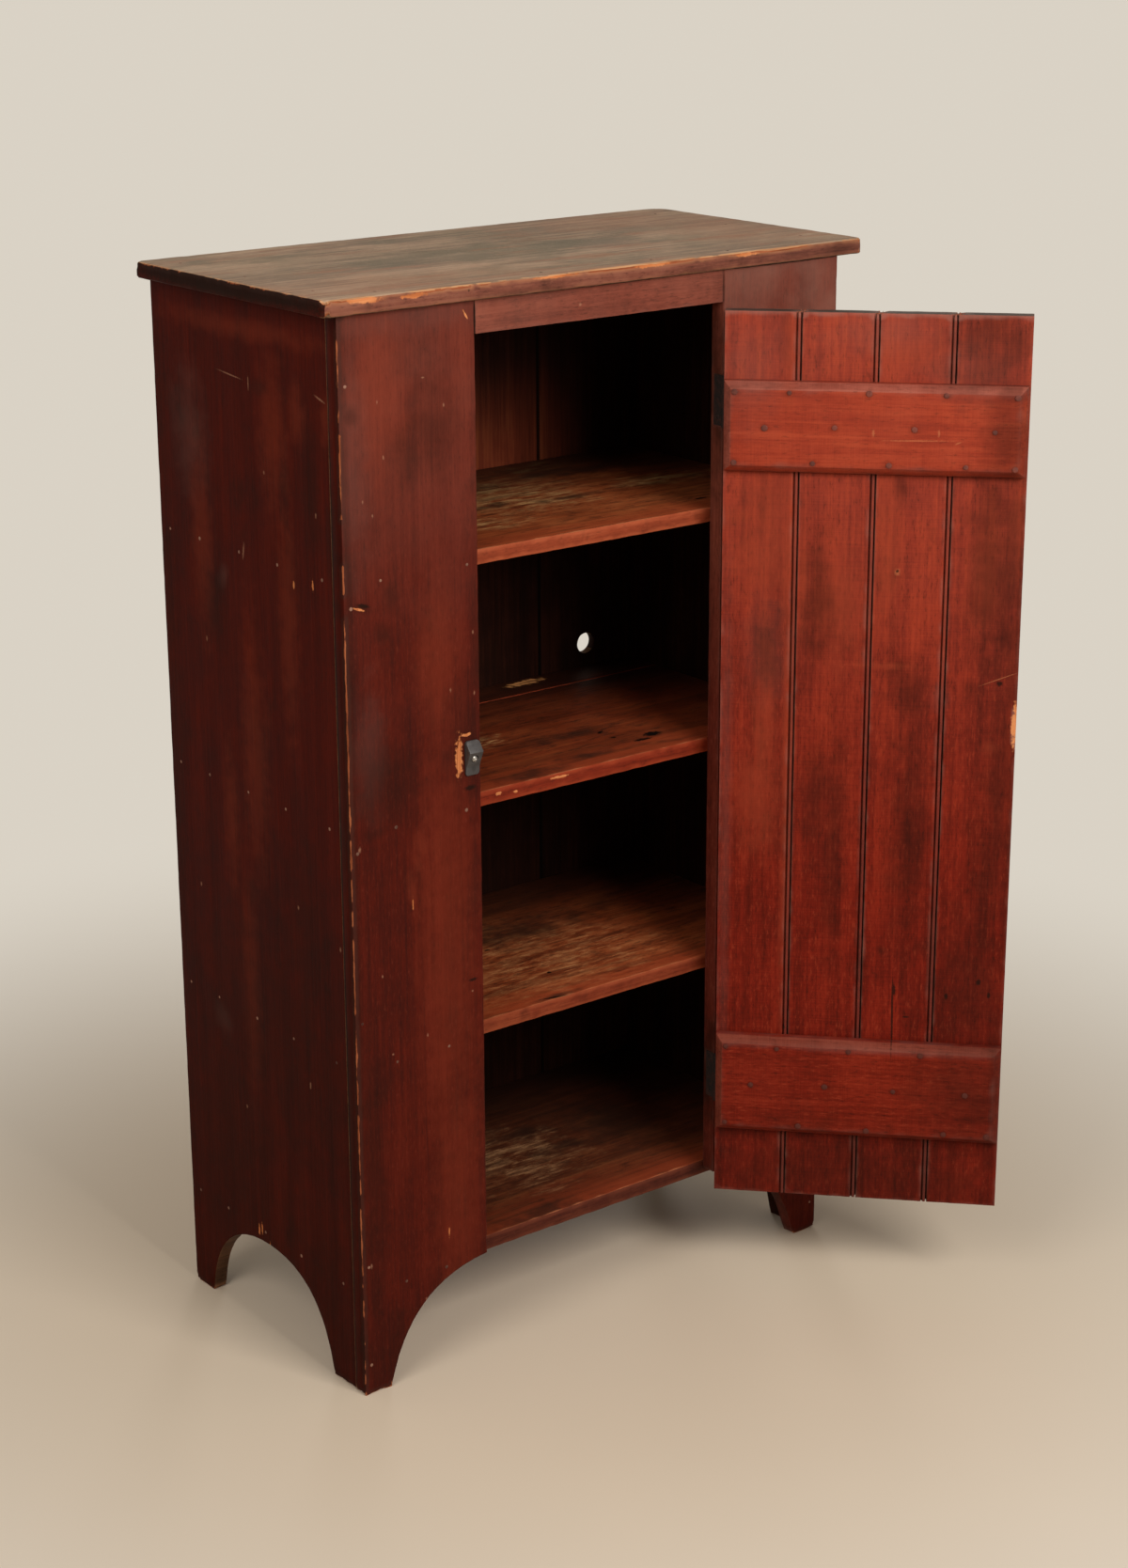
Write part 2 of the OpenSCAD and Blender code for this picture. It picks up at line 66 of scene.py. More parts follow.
CASE_AXES = (Vector((1, 0, 0)), Vector((0, 1, 0)), Vector((0, 0, 1)))
DOOR_AXES = tuple(Quaternion((0, 0, 1), DOOR_OPEN) @ axis for axis in CASE_AXES)
DOOR_INSIDE = DOOR_AXES[1]

WAYS = {"left": Vector((-1, 0, 0)), "right": Vector((1, 0, 0)), "front": Vector((0, -1, 0)),
        "back": Vector((0, 1, 0)), "under": Vector((0, 0, -1)), "over": Vector((0, 0, 1))}


# Shapes and places in the frame


def clean_copy(mesh):
    """A copy of a mesh with its triangles joined to flat faces."""
    bm = bmesh.new()
    bm.from_mesh(mesh)
    bmesh.ops.remove_doubles(bm, verts=bm.verts, dist=CLOSE)
    bmesh.ops.dissolve_limit(bm, angle_limit=FLAT_BELOW, verts=bm.verts, edges=bm.edges)
    return bm


def cad_copy(node):
    """A clean copy of a CAD node's mesh."""
    return clean_copy(frame["nodes"][node].data)


def middle_of(points):
    return sum(points, Vector()) / len(points)


# A slanting line on which no two nails or screws lie at the same distance
SLANT = Vector((0.31, 0.57, 0.76))


def loose_parts(bm):
    """The separate pieces of a mesh, as lists of points, in an order that is the same each run."""
    parts, seen = [], set()
    for first in bm.verts:
        if first in seen:
            continue
        seen.add(first)
        part, waiting = [], [first]
        while waiting:
            vert = waiting.pop()
            part.append(vert.co.copy())
            for other in (edge.other_vert(vert) for edge in vert.link_edges):
                if other not in seen:
                    seen.add(other)
                    waiting.append(other)
        parts.append(part)
    return sorted(parts, key=lambda part: middle_of(part).dot(SLANT))


def at_case(point):
    """A point in millimetres from the case's front left corner."""
    return (point - CORNER) / MM


def at_door(point):
    """A point of the open door in millimetres: from the hinge pin to the free edge, to the inside, and up."""
    away = point - PIN
    return Vector((-away.dot(DOOR_AXES[0]), away.dot(DOOR_AXES[1]), point.z)) / MM


# Node trees


class Nodes:
    """A node tree in the making. Each method adds a node and returns its output."""

    def __init__(self, tree):
        self.tree = tree

    def plug(self, socket, value):
        if isinstance(value, bpy.types.NodeSocket):
            self.tree.links.new(value, socket)
        elif socket.type == "RGBA":
            socket.default_value = (*value[:3], 1)
        else:
            socket.default_value = value

    def node(self, kind, sockets, output=0, **settings):
        made = self.tree.nodes.new(kind)
        for name, value in settings.items():
            setattr(made, name, value)
        for key, value in sockets.items():
            self.plug(made.inputs[key], value)
        return made.outputs[output]

    def math(self, operation, a, b=0.0, c=0.0):
        return self.node("ShaderNodeMath", {0: a, 1: b, 2: c}, operation=operation)

    def vector_math(self, operation, sockets, output=0):
        return self.node("ShaderNodeVectorMath", sockets, output, operation=operation)

    def times(self, a, b):
        return self.math("MULTIPLY", a, b)

    def times_plus(self, a, b, c):
        """a times b, plus c."""
        return self.math("MULTIPLY_ADD", a, b, c)


class Finish(Nodes):
    """A material in the making."""

    def __init__(self, name):
        self.material = bpy.data.materials.new(name)
        self.material.use_nodes = True
        super().__init__(self.material.node_tree)
        self.shader = self.tree.nodes["Principled BSDF"]
        self.place = self.node("ShaderNodeTexCoord", {}, "Object")
        self.wood = self.own_wood(self.place)

    def own_wood(self, place):
        """Each board is cut from other wood, so its pattern is moved by the number that it carries."""
        sockets = {0: (0.17, 0.29, 0.43), "Scale": self.attribute("board")}
        return self.vector_math("ADD", {0: place, 1: self.vector_math("SCALE", sockets)})

    def attribute(self, name):
        return self.node("ShaderNodeAttribute", {}, "Fac", attribute_name=name)

    def mix(self, share, a, b, blend="MIX"):
        """Colour a, going over to colour b."""
        return self.node("ShaderNodeMix", {0: share, 6: a, 7: b}, 2, data_type="RGBA", blend_type=blend)

    def over(self, colour, shade, value, low, high, top=1.0):
        """The colour, covered with a shade up to a share where a value goes from low to high."""
        return self.mix(self.step(value, low, high, top), colour, shade)

    def marked(self, colour, shade, share, vector, axes, places, *edge):
        """The colour, covered with a share of a shade inside oval spots."""
        if not places:
            return colour
        return self.mix(self.times(self.spots(vector, axes, places, *edge), share), colour, shade)

    def toned(self, value, tones):
        """Dark, middle and light colours, for values from 0 to 1."""
        return self.ramp(value, list(zip((0.0, 0.5, 1.0), tones)))

    def between(self, share, a, b):
        """Number a, going over to number b."""
        return self.node("ShaderNodeMix", {0: share, 2: a, 3: b}, data_type="FLOAT")

    def step(self, value, low, high, top=1.0):
        """0 below low and top above high, smooth between; turned round where low is the greater."""
        limits = {"Value": value, "From Min": min(low, high), "From Max": max(low, high)}
        limits["To Min"], limits["To Max"] = (0.0, top) if low < high else (top, 0.0)
        return self.node("ShaderNodeMapRange", limits, interpolation_type="SMOOTHSTEP")

    def along(self, vector, axis):
        """The coordinate along x, y or z."""
        return self.node("ShaderNodeSeparateXYZ", {0: vector}, axis.upper())

    def mapped(self, vector, at=(0, 0, 0), turn=(0, 0, 0), size=(1, 1, 1)):
        """Coordinates whose origin is at a place, turned, with one unit to each size."""
        sockets = {"Vector": vector, "Location": at, "Rotation": turn, "Scale": size}
        return self.node("ShaderNodeMapping", sockets, vector_type="TEXTURE")

    def noise(self, size, detail=3.0, roughness=0.55, distortion=0.0, on=None):
        """Cloudy noise from 0 to 1 in the wood, or on other coordinates, with clouds of a size (x, y, z)."""
        sockets = {"Vector": self.mapped(on or self.wood, size=size), "Scale": 1.0, "Detail": detail}
        sockets.update({"Roughness": roughness, "Distortion": distortion})
        return self.node("ShaderNodeTexNoise", sockets)

    def ramp(self, value, stops):
        """Colours at given values, from stops of (value, colour)."""
        made = self.tree.nodes.new("ShaderNodeValToRGB")
        self.plug(made.inputs[0], value)
        elements = made.color_ramp.elements
        while len(elements) < len(stops):
            elements.new(0.5)
        for element, (position, colour) in zip(elements, stops):
            element.position = position
            element.color = (*colour, 1)
        return made.outputs[0]

    def spots(self, vector, axes, places, ragged=0.5, soft=0.35, grit=0.004):
        """1 inside oval spots.

        A place is (u, v, half width, half height) in millimetres, and may end with a tilt in degrees.
        """
        across = ({0, 1, 2} - {"xyz".index(axis) for axis in axes}).pop()
        flat = [0.0 if index == across else 1.0 for index in range(3)]
        wobble = self.times_plus(self.noise((grit,) * 3, 3, on=vector), ragged * 2, -ragged)
        nearest = 99.0
        for u, v, half_u, half_v, *tilt in places:
            at, size, turn = [0.0] * 3, [1.0] * 3, [0.0] * 3
            for axis, middle, half in ((axes[0], u, half_u), (axes[1], v, half_v)):
                at["xyz".index(axis)] = middle * MM
                size["xyz".index(axis)] = half * MM
            turn[across] = math.radians(tilt[0] if tilt else 0)
            spot = self.mapped(vector, at, turn, size)
            spot = self.vector_math("MULTIPLY", {0: spot, 1: flat})
            distance = self.vector_math("LENGTH", {0: spot}, "Value")
            nearest = self.math("MINIMUM", distance, nearest)
        return self.step(self.math("ADD", nearest, wobble), 1 + soft, 1 - soft)

    def flecks(self, vector, spacing, radius, share):
        """1 inside small flecks that are scattered at about the given spacing, on a share of the cells."""
        cells = self.tree.nodes.new("ShaderNodeTexVoronoi")
        for key, value in {"Vector": vector, "Scale": 1 / spacing, "Randomness": 1.0}.items():
            self.plug(cells.inputs[key], value)
        chosen = self.math("LESS_THAN", cells.outputs["Color"], share)
        return self.times(self.step(cells.outputs["Distance"], radius / spacing, 0), chosen)

    def from_corner(self):
        """Coordinates measured from the case's front left corner."""
        return self.mapped(self.place, tuple(CORNER))

    def on_door(self):
        """Coordinates that turn with the door: -x runs from the pin to the free edge, y to the inside."""
        return self.mapped(self.place, (PIN.x, PIN.y, 0), (0, 0, DOOR_OPEN))

    def finish(self, colour, roughness, height=None, depth=0.0005, metallic=0.0, specular=0.5):
        self.plug(self.shader.inputs["Base Color"], colour)
        self.plug(self.shader.inputs["Roughness"], roughness)
        self.shader.inputs["Metallic"].default_value = metallic
        self.shader.inputs["Specular IOR Level"].default_value = specular
        if height is not None:
            sockets = {"Strength": 1.0, "Distance": depth, "Height": height}
            self.plug(self.shader.inputs["Normal"], self.node("ShaderNodeBump", sockets))
        return self.material


def long_grain(axis, across, along):
    """Noise size for streaks that run along an axis."""
    return tuple(along if name == axis else across for name in "xyz")


# Colours of wood, paint and dirt, as linear red, green and blue: dark, middle and light
WORN_PINE = ((0.11, 0.026, 0.01), (0.25, 0.066, 0.024), (0.36, 0.112, 0.046))
FRESH_PINE = ((0.27, 0.07, 0.021), (0.47, 0.145, 0.046), (0.62, 0.24, 0.092))
OXBLOOD = ((0.024, 0.0036, 0.0022), (0.052, 0.0055, 0.0028), (0.082, 0.008, 0.0034))
BRICK = ((0.036, 0.0056, 0.0036), (0.073, 0.0078, 0.0038), (0.105, 0.012, 0.0056))
# Painted light: a lighter copy of brick red for the upper part, where the lamps fall strongest
BRICK_LIT_HIGH = ((0.062, 0.012, 0.0074), (0.112, 0.0185, 0.01), (0.155, 0.027, 0.014))
RAIL_RED = ((0.092, 0.0205, 0.0125), (0.172, 0.04, 0.023), (0.245, 0.064, 0.037))
DULL_EDGE = ((0.07, 0.023, 0.016), (0.165, 0.052, 0.032), (0.25, 0.095, 0.056))
SHELF_EDGES = {
    "upper": ((0.15, 0.026, 0.011), (0.245, 0.044, 0.017), (0.33, 0.076, 0.03)),
    "middle": ((0.095, 0.011, 0.0046), (0.18, 0.02, 0.0075), (0.26, 0.042, 0.015)),
    "lower": ((0.08, 0.012, 0.0055), (0.165, 0.027, 0.0105), (0.27, 0.06, 0.023)),
    "bottom": ((0.03, 0.007, 0.0042), (0.062, 0.013, 0.0078), (0.12, 0.03, 0.015)),
}
# Painted light: the door's and battens' high tones are lighter copies of their low tones, for light that falls
# off towards the floor
DOOR_SHADED_LOW = ((0.072, 0.0066, 0.0034), (0.14, 0.0102, 0.0046), (0.212, 0.0168, 0.0066))
DOOR_LIT_HIGH = ((0.14, 0.019, 0.011), (0.235, 0.03, 0.015), (0.33, 0.045, 0.018))
BATTEN_SHADED_LOW = ((0.085, 0.0075, 0.0036), (0.152, 0.0118, 0.0052), (0.215, 0.02, 0.0082))
BATTEN_LIT_HIGH = ((0.175, 0.02, 0.01), (0.262, 0.031, 0.0128), (0.345, 0.049, 0.019))
# Painted light: lighter tones for the battens' bevels that face the lamps
LIT_BEVEL_TONES = {
    "upper_batten": ((0.15, 0.029, 0.017), (0.245, 0.056, 0.035), (0.34, 0.093, 0.059)),
    "lower_batten": ((0.085, 0.015, 0.0085), (0.15, 0.029, 0.0165), (0.215, 0.048, 0.028)),
}
GREY_BROWN = ((0.235, 0.148, 0.092), (0.355, 0.224, 0.141), (0.46, 0.3, 0.192))
SAWN = ((0.03, 0.014, 0.008), (0.085, 0.038, 0.019), (0.17, 0.078, 0.038))
# Painted sheen: a pale pink that stands for the lamps' reflection on the upper paint
SHEEN_HIGHLIGHT = (0.28, 0.125, 0.088)
GREY_DUST = (0.15, 0.07, 0.054)
SOOT = (0.012, 0.0055, 0.0034)
TAN = (0.4, 0.19, 0.11)
SCRATCH = (0.45, 0.15, 0.06)
GLOW = (0.27, 0.042, 0.017)


def worn_wood(f, axis, tones=WORN_PINE):
    """Grain of bare pine: growth rings drawn out along an axis, with fine pores."""
    bands = f.noise(long_grain(axis, 0.022, 0.45), 2, 0.5, 0.6)
    rings = f.math("PINGPONG", f.times(bands, 9.0), 0.5)
    pores = f.noise(long_grain(axis, 0.0011, 0.03), 2)
    tone = f.times_plus(rings, 0.9, f.times(pores, 0.55))
    return f.ramp(tone, [(0.12, tones[0]), (0.42, tones[1]), (0.85, tones[2])]), tone


def streaks(f, axis, contrast, cross=0.0):
    """Tone of brushed paint from 0 to 1: broad, middling and fine streaks along the grain, and clouds."""
    broad = f.noise(long_grain(axis, 0.03, 0.6), 3)
    middle = f.noise(long_grain(axis, 0.0055, 0.2), 3)
    fine = f.noise(long_grain(axis, 0.0018, 0.06), 2)
    cloud = f.noise((0.07, 0.07, 0.1), 5, 0.65)
    tone = f.times_plus(broad, 0.28, f.times(middle, 0.24))
    tone = f.times_plus(fine, 0.16, tone)
    tone = f.times_plus(cloud, 0.32, tone)
    if cross:
        # Marks of the plane and the brush across the grain
        other = f.noise((0.05, 0.05, 0.0012) if axis == "z" else (0.0012, 0.05, 0.05), 2)
        tone = f.math("ADD", tone, f.times_plus(other, cross, -cross / 2))
    half = 0.5 / contrast
    return f.step(tone, 0.5 - half, 0.5 + half), middle, fine, cloud


def dark_grooves(f, across, colour, beads):
    """Beads rubbed dull, with dirt in the quirk and the joint on their two sides."""
    for bead in beads:
        offset = f.math("SUBTRACT", across, bead * MM)
        aside = f.math("ABSOLUTE", offset)
        colour = f.over(colour, GREY_DUST, aside, 0.0024, 0.0014, 0.22)
        groove = f.times(f.step(aside, 0.0018, 0.0024), f.step(aside, 0.0044, 0.0036, 0.94))
        groove = f.times(groove, f.step(offset, 0.0036, 0.0028))
        colour = f.mix(groove, colour, SOOT)
    return colour


def paint(name, low, high, axis, origin, axes, heights=(0.5, 1.25), haze=0.0, contrast=2.3, cross=0.0,
          sheen=0.06, rubbed=GREY_DUST, bare=1.02, rag=0.4, grime=0.4, beads=(), orange=(), dark=(),
          smudges=(), pale=(), scratch=TAN, glows=(), dust=(), stains=(), dots=0.06, glow=0.2,
          smudge=0.4, seams=()):
    """Old paint over pine: streaks along the grain, dirt, painted light and a painted sheen towards the top,
    worn arrises and marks.

    low and high are the dark, middle and light colours of the paint below and above the two heights;
    where high is the lighter, the change between them is painted light that falls off towards the floor.
    Marks are oval spots in the two axes of the coordinates that origin gives. An arris is rubbed to the
    rubbed colour, and is bare where its wear and rag times a noise come to more than bare.
    """
    f = Finish(name)
    marks = origin(f)
    f.wood = f.own_wood(marks)
    tone, middle, fine, cloud = streaks(f, axis, contrast, cross)
    # Painted light: the paint goes over to the lighter high tones above the heights, where the lamps fall
    # strongest
    up = f.step(f.along(f.place, "z"), *heights)
    colour = f.mix(up, f.toned(tone, low), f.toned(tone, high))
    dirt = f.noise((0.05, 0.05, 0.09), 5, 0.65)
    colour = f.over(colour, SOOT, dirt, 0.54, 0.78, grime)
    # Small scuffs and pits, dark and light
    scuffs = f.noise(long_grain(axis, 0.003, 0.012), 5, 0.75)
    colour = f.over(colour, SOOT, scuffs, 0.52, 0.7, 0.5)
    colour = f.over(colour, high[2], scuffs, 0.47, 0.31, 0.38)
    # Painted sheen: clouds of pale pink over the upper paint stand for the reflection of the lamps
    if haze:
        sheen_clouds = f.noise((0.1, 0.1, 0.09), 4, 0.6)
        share = f.times(f.step(sheen_clouds, 0.1, 0.9, haze), f.step(f.along(f.place, "z"), 0.7, 1.36))
        colour = f.mix(share, colour, SHEEN_HIGHLIGHT)
    for places, shade, share, ragged, soft, grit in (
            (dust, GREY_DUST, 0.2, 1.0, 1.0, 0.03), (glows, GLOW, glow, 1.0, 1.0, 0.02),
            (smudges, SOOT, smudge, 1.2, 1.0, 0.03), (stains, SOOT, 0.24, 0.8, 0.8, 0.005),
            (pale, scratch, 0.42, 0.9, 0.6, 0.003),
            (dark, SOOT, 0.85, 0.6, 0.4, 0.003)):
        colour = f.marked(colour, shade, share, marks, axes, places, ragged, soft, grit)
    colour = dark_grooves(f, f.along(marks, "x"), colour, beads)
    colour = f.mix(f.times(f.flecks(f.wood, 0.045, 0.001, dots), 0.5), colour, TAN)
    wear = f.attribute("wear")
    colour = f.over(colour, rubbed, wear, 0.16, 0.6, 0.45)
    # Paint is gone along the sharpest part of an arris, in ragged stretches that follow the grain
    wood, _ = worn_wood(f, axis)
    ragged = f.noise(long_grain(axis, 0.0035, 0.02), 4, 0.6)
    worn = f.step(f.times_plus(ragged, rag, wear), bare, bare + 0.1)
    colour = f.mix(worn, colour, wood)
    # Dark joint lines, and painted shadow lines where seams holds them
    colour = f.marked(colour, SOOT, 0.9, marks, axes, seams, 0.5, 0.4, 0.01)
    if orange:
        chips = f.spots(marks, axes, orange, 1.3, 0.3, 0.006)
        colour = f.mix(chips, colour, worn_wood(f, axis, FRESH_PINE)[0])
        worn = f.math("MAXIMUM", worn, chips)
    roughness = f.between(worn, f.times_plus(cloud, 0.24, 0.33), 0.74)
    height = f.times_plus(fine, 0.22, f.times(middle, 0.35))
    height = f.times_plus(f.noise(long_grain(axis, 0.06, 0.35), 1), 1.6, height)
    height = f.times_plus(worn, -0.4, height)
    return f.finish(colour, roughness, height, 0.0005, specular=sheen)


# The rail's two ends, where it meets the stiles
RAIL_ENDS = [at_case(corner).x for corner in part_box("top_rail")]

# What the faces in brick red and in oxblood share
BRICK_FACE = {"low": BRICK, "high": BRICK_LIT_HIGH, "axis": "z", "axes": "xz", "heights": (0.95, 1.32),
              "sheen": 0.04, "rubbed": (0.05, 0.02, 0.014)}
OXBLOOD_FACE = {"low": OXBLOOD, "high": OXBLOOD, "axis": "z", "origin": Finish.from_corner, "axes": "yz",
                "sheen": 0.015, "grime": 0.5, "rubbed": (0.03, 0.014, 0.01), "bare": 1.12, "rag": 0.6,
                "contrast": 2.0}

# The door's beads, and the chip where the turn button rubs its free edge
BEADS = (-93, -188, -282)
FREE_EDGE_CHIP = [(-374, 797, 4, 27)]

# Marks, as places for Finish.spots: orange is bare wood, dark and smudges are dirt, pale is scratches,
# glows are places rubbed bright, dust is grey

# The left side: knocks, smears, rubbed places, and broad patches that make it darker towards the floor
SIDE_MARKS = {
    "orange": [(233, 143, 1.4, 8), (240, 138, 1.8, 7), (215, 126, 1, 6), (105, 1030, 1.4, 4),
        (64, 1036, 1.6, 6)],
    "pale": [(349, 587, 1.6, 2.4), (28, 593, 1.6, 2.6), (119, 621, 1.6, 2.4), (258, 307, 1.6, 2),
        (162, 1155, 1.2, 2), (309, 922, 1.2, 3), (53, 1122, 1.2, 3), (105, 389, 1.5, 4),
        (38, 1260, 9, 1.2, 16), (230, 1262, 20, 0.8, 5), (190, 1258, 1, 7), (215, 1050, 1.4, 9, 10)],
    "glows": [(200, 1320, 130, 10), (88, 1235, 14, 26), (140, 1200, 24, 70), (266, 700, 14, 70),
        (205, 800, 22, 120), (120, 980, 16, 110), (310, 1050, 18, 90), (235, 480, 16, 120),
        (28, 1235, 8, 22)],
    "smudges": [(167, 1256, 13, 7), (276, 999, 12, 18, 10), (20, 1100, 12, 40), (12, 1021, 7, 12),
        (290, 960, 20, 40), (60, 1150, 14, 60), (310, 410, 12, 26, 15), (10, 780, 8, 120),
        (14, 400, 8, 200), (396, 700, 16, 560), (200, 40, 240, 160), (200, 1372, 240, 8),
        (100, 560, 40, 120), (300, 250, 120, 260), (200, 420, 240, 160)],
    "dust": [(264, 1010, 8, 12, 20), (306, 414, 18, 14, 40), (330, 1180, 30, 60)],
    "dark": [(20, 680, 1.5, 690), (190, 1373, 235, 12)],
}

# The left stile: chips round the turn button, dirt from hands and small knocks
STILE_MARKS = {
    "orange": [(160, 812, 4.6, 24), (172, 838, 6, 1.8), (88, 641, 0.8, 8), (20, 1018, 7, 1.3, 20),
        (179, 1343, 1, 7, -30), (133, 187, 1, 7)],
    "glows": [(103, 712, 9, 18, -10), (97, 690, 6, 14, -20), (124, 690, 6, 12), (88, 655, 6, 22, -10),
        (150, 905, 3, 18), (130, 930, 24, 80), (140, 560, 34, 220), (150, 250, 30, 140),
        (60, 1270, 30, 80)],
    "dark": [(27, 1021, 8, 2.4, 15), (176, 520, 6, 2), (176, 770, 8, 3)],
    "smudges": [(53, 985, 9, 11, 20), (24, 1018, 14, 5, 15), (129, 1217, 26, 44), (100, 1193, 20, 30),
        (37, 740, 20, 7, -12), (66, 1026, 10, 16), (172, 840, 24, 60), (14, 1243, 9, 9), (190, 940, 8, 70),
        (20, 300, 16, 160), (100, 40, 100, 50), (6, 700, 5, 640), (50, 800, 50, 50)],
    "dust": [(16, 1180, 18, 90), (100, 1350, 100, 16), (30, 840, 18, 60)],
    "pale": [(117, 1277, 2, 0.8), (53, 1256, 0.8, 2), (60, 1191, 1, 2.2), (30, 1143, 0.8, 2),
        (149, 898, 1, 2.4), (183, 964, 1, 2), (43, 1125, 1, 2), (184, 888, 1, 2.2), (146, 1242, 1, 2.2),
        (13, 725, 1.8, 3), (41, 557, 1.2, 1.6), (175, 505, 1.2, 1.2), (106, 464, 1, 2), (54, 452, 1.2, 1.2),
        (14, 177, 1.2, 3), (96, 105, 1, 2)],
}

# The door's inner side: scratches, dirt, dust and places rubbed bright
DOOR_MARKS = {
    "dark": [(-353, 852, 3.4, 3), (-233, 432, 2.6, 8), (-232, 400, 1.3, 50, 1), (-221, 993, 1.8, 2),
        (-342, 449, 3, 4), (-301, 427, 2.4, 4), (-356, 431, 2, 4), (-91, 371, 1.6, 3), (-250, 395, 4, 1.2)],
    "smudges": [(-361, 1172, 12, 56), (-337, 1085, 14, 34), (-356, 985, 18, 150), (-368, 860, 12, 60),
        (-222, 1102, 8, 16), (-358, 700, 18, 150), (-345, 560, 18, 150), (-58, 887, 16, 40),
        (-122, 950, 16, 60), (-366, 300, 14, 200), (-352, 1172, 26, 60), (-127, 690, 18, 60),
        (-360, 909, 18, 40), (-216, 486, 6, 5), (-240, 840, 20, 30), (-330, 1290, 50, 60),
        (-345, 290, 40, 80), (-190, 160, 230, 70), (-373, 760, 5, 560), (-150, 620, 13, 130),
        (-330, 450, 40, 90), (-336, 1010, 22, 130), (-245, 640, 24, 120), (-335, 300, 60, 50)],
    "dust": [(-30, 1240, 30, 50), (-58, 887, 20, 50), (-10, 640, 6, 260), (-300, 1250, 40, 30),
        (-205, 1290, 60, 20), (-280, 830, 10, 12), (-230, 352, 200, 4)],
    "glows": [(-26, 1058, 30, 12), (-84, 1000, 8, 90), (-60, 800, 12, 90), (-210, 1010, 14, 70),
        (-150, 950, 30, 60), (-50, 690, 26, 60), (-230, 1265, 30, 16), (-84, 1270, 8, 50),
        (-210, 870, 44, 3), (-330, 1000, 16, 60), (-366, 1060, 8, 60), (-55, 776, 9, 6), (-345, 768, 10, 7),
        (-60, 1060, 30, 50), (-88, 760, 6, 300), (-200, 1050, 8, 60), (-50, 1000, 30, 40),
        (-104, 986, 6, 60), (-54, 760, 10, 90)],
    "pale": [(-187, 1170, 1.4, 4.5), (-267, 1172, 1.4, 4), (-238, 1162, 33, 0.9, 1), (-290, 1160, 4, 1, 20),
        (-221, 992, 3.2, 3.8), (-352, 858, 22, 0.6, 22)],
}

BATTENS = {name: tuple(corner.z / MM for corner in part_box(name)) for name in ("upper_batten", "lower_batten")}
BATTEN_NAILS = [at_door(middle_of(part)) for part in loose_parts(cad_copy("batten_nails"))]
DOOR_MARKS["orange"] = FREE_EDGE_CHIP
DOOR_MARKS["stains"] = [(-nail.x, nail.z, 6, 5) for nail in BATTEN_NAILS]


def on_batten(batten):
    """A choice of the marks that reach onto a batten."""
    low, high = BATTENS[batten]
    return lambda marks: [mark for mark in marks if low < mark[1] + mark[3] and mark[1] - mark[3] < high]


def beside_battens(marks):
    """The marks that no batten covers."""
    return [mark for mark in marks
            if not any(low < mark[1] - mark[3] and mark[1] + mark[3] < high
                       for low, high in BATTENS.values())]


def door_finish(name, axis, low, high, chosen, **more):
    """Orange red paint of the door's inner side, with those of its marks that are chosen."""
    marks = {kind: chosen(places) for kind, places in DOOR_MARKS.items()}
    return paint(name, low, high, axis, Finish.on_door, "xz", haze=0.08, cross=0.14, contrast=2.9,
                 sheen=0.04, scratch=SCRATCH, dots=0.03, glow=0.42, smudge=0.5, **marks, **more)


def edge_finish(name, tones, **more):
    """Paint on the rail and on the edges of shelves and top, rubbed by hands."""
    return paint(name, tones, tones, "x", Finish.from_corner, "xz", contrast=2.6, **more)


def top_finish():
    """Upper face of the top: paint rubbed to a grey brown, with green and orange in it."""
    f = Finish("rubbed_top")
    corner = f.from_corner()
    grain = f.noise((0.3, 0.01, 0.02), 4, 0.6, 0.3)
    fine = f.noise((0.05, 0.0014, 0.01), 3)
    cloud = f.noise((0.16, 0.07, 0.1), 4, 0.6)
    tone = f.math("ADD", f.times(grain, 0.5), f.times(cloud, 0.5))
    colour = f.toned(f.step(tone, 0.4, 0.6), GREY_BROWN)
    middle = f.spots(corner, "xy", [(400, 200, 230, 150), (70, 330, 90, 40)], 1.6, 1.0, 0.07)
    algae = f.step(f.noise((0.16, 0.06, 0.1), 5, 0.65), 0.42, 0.56)
    green = f.times(f.times_plus(middle, 0.5, 0.15), algae)
    colour = f.mix(green, colour, (0.13, 0.112, 0.068))
    red = f.noise((0.16, 0.03, 0.1), 4, 0.65)
    colour = f.over(colour, (0.32, 0.14, 0.075), red, 0.52, 0.66, 0.65)
    warm = [(650, 330, 120, 60), (720, 200, 70, 150), (120, 60, 150, 50)]
    colour = f.marked(colour, (0.34, 0.15, 0.08), 0.45, corner, "xy", warm, 1.6, 1.0, 0.05)
    colour = f.over(colour, (0.1, 0.07, 0.045), fine, 0.52, 0.72, 0.45)
    scuffs = f.noise((0.014, 0.0035, 0.01), 5, 0.75)
    colour = f.over(colour, (0.12, 0.08, 0.05), scuffs, 0.52, 0.7, 0.4)
    colour = f.over(colour, (0.62, 0.4, 0.25), scuffs, 0.45, 0.3, 0.35)
    dark = [(215, 175, 30, 16), (480, 250, 90, 60), (300, 255, 110, 40)]
    colour = f.marked(colour, (0.085, 0.074, 0.045), 0.3, corner, "xy", dark, 1.8, 1.0)
    wood, _ = worn_wood(f, "x", ((0.2, 0.08, 0.035), (0.44, 0.2, 0.09), (0.58, 0.32, 0.16)))
    ragged = f.noise((0.02, 0.006, 0.006), 4, 0.6)
    worn = f.times_plus(ragged, 0.9, f.math("SUBTRACT", f.attribute("wear"), 0.45))
    worn = f.step(worn, 0.52, 0.64)
    colour = f.mix(worn, colour, wood)
    height = f.times_plus(fine, 0.4, f.times(grain, 0.8))
    height = f.times_plus(f.noise((0.5, 0.09, 0.1), 1), 2.0, height)
    return f.finish(colour, f.between(cloud, 0.45, 0.65), height, 0.0006, specular=0.08)


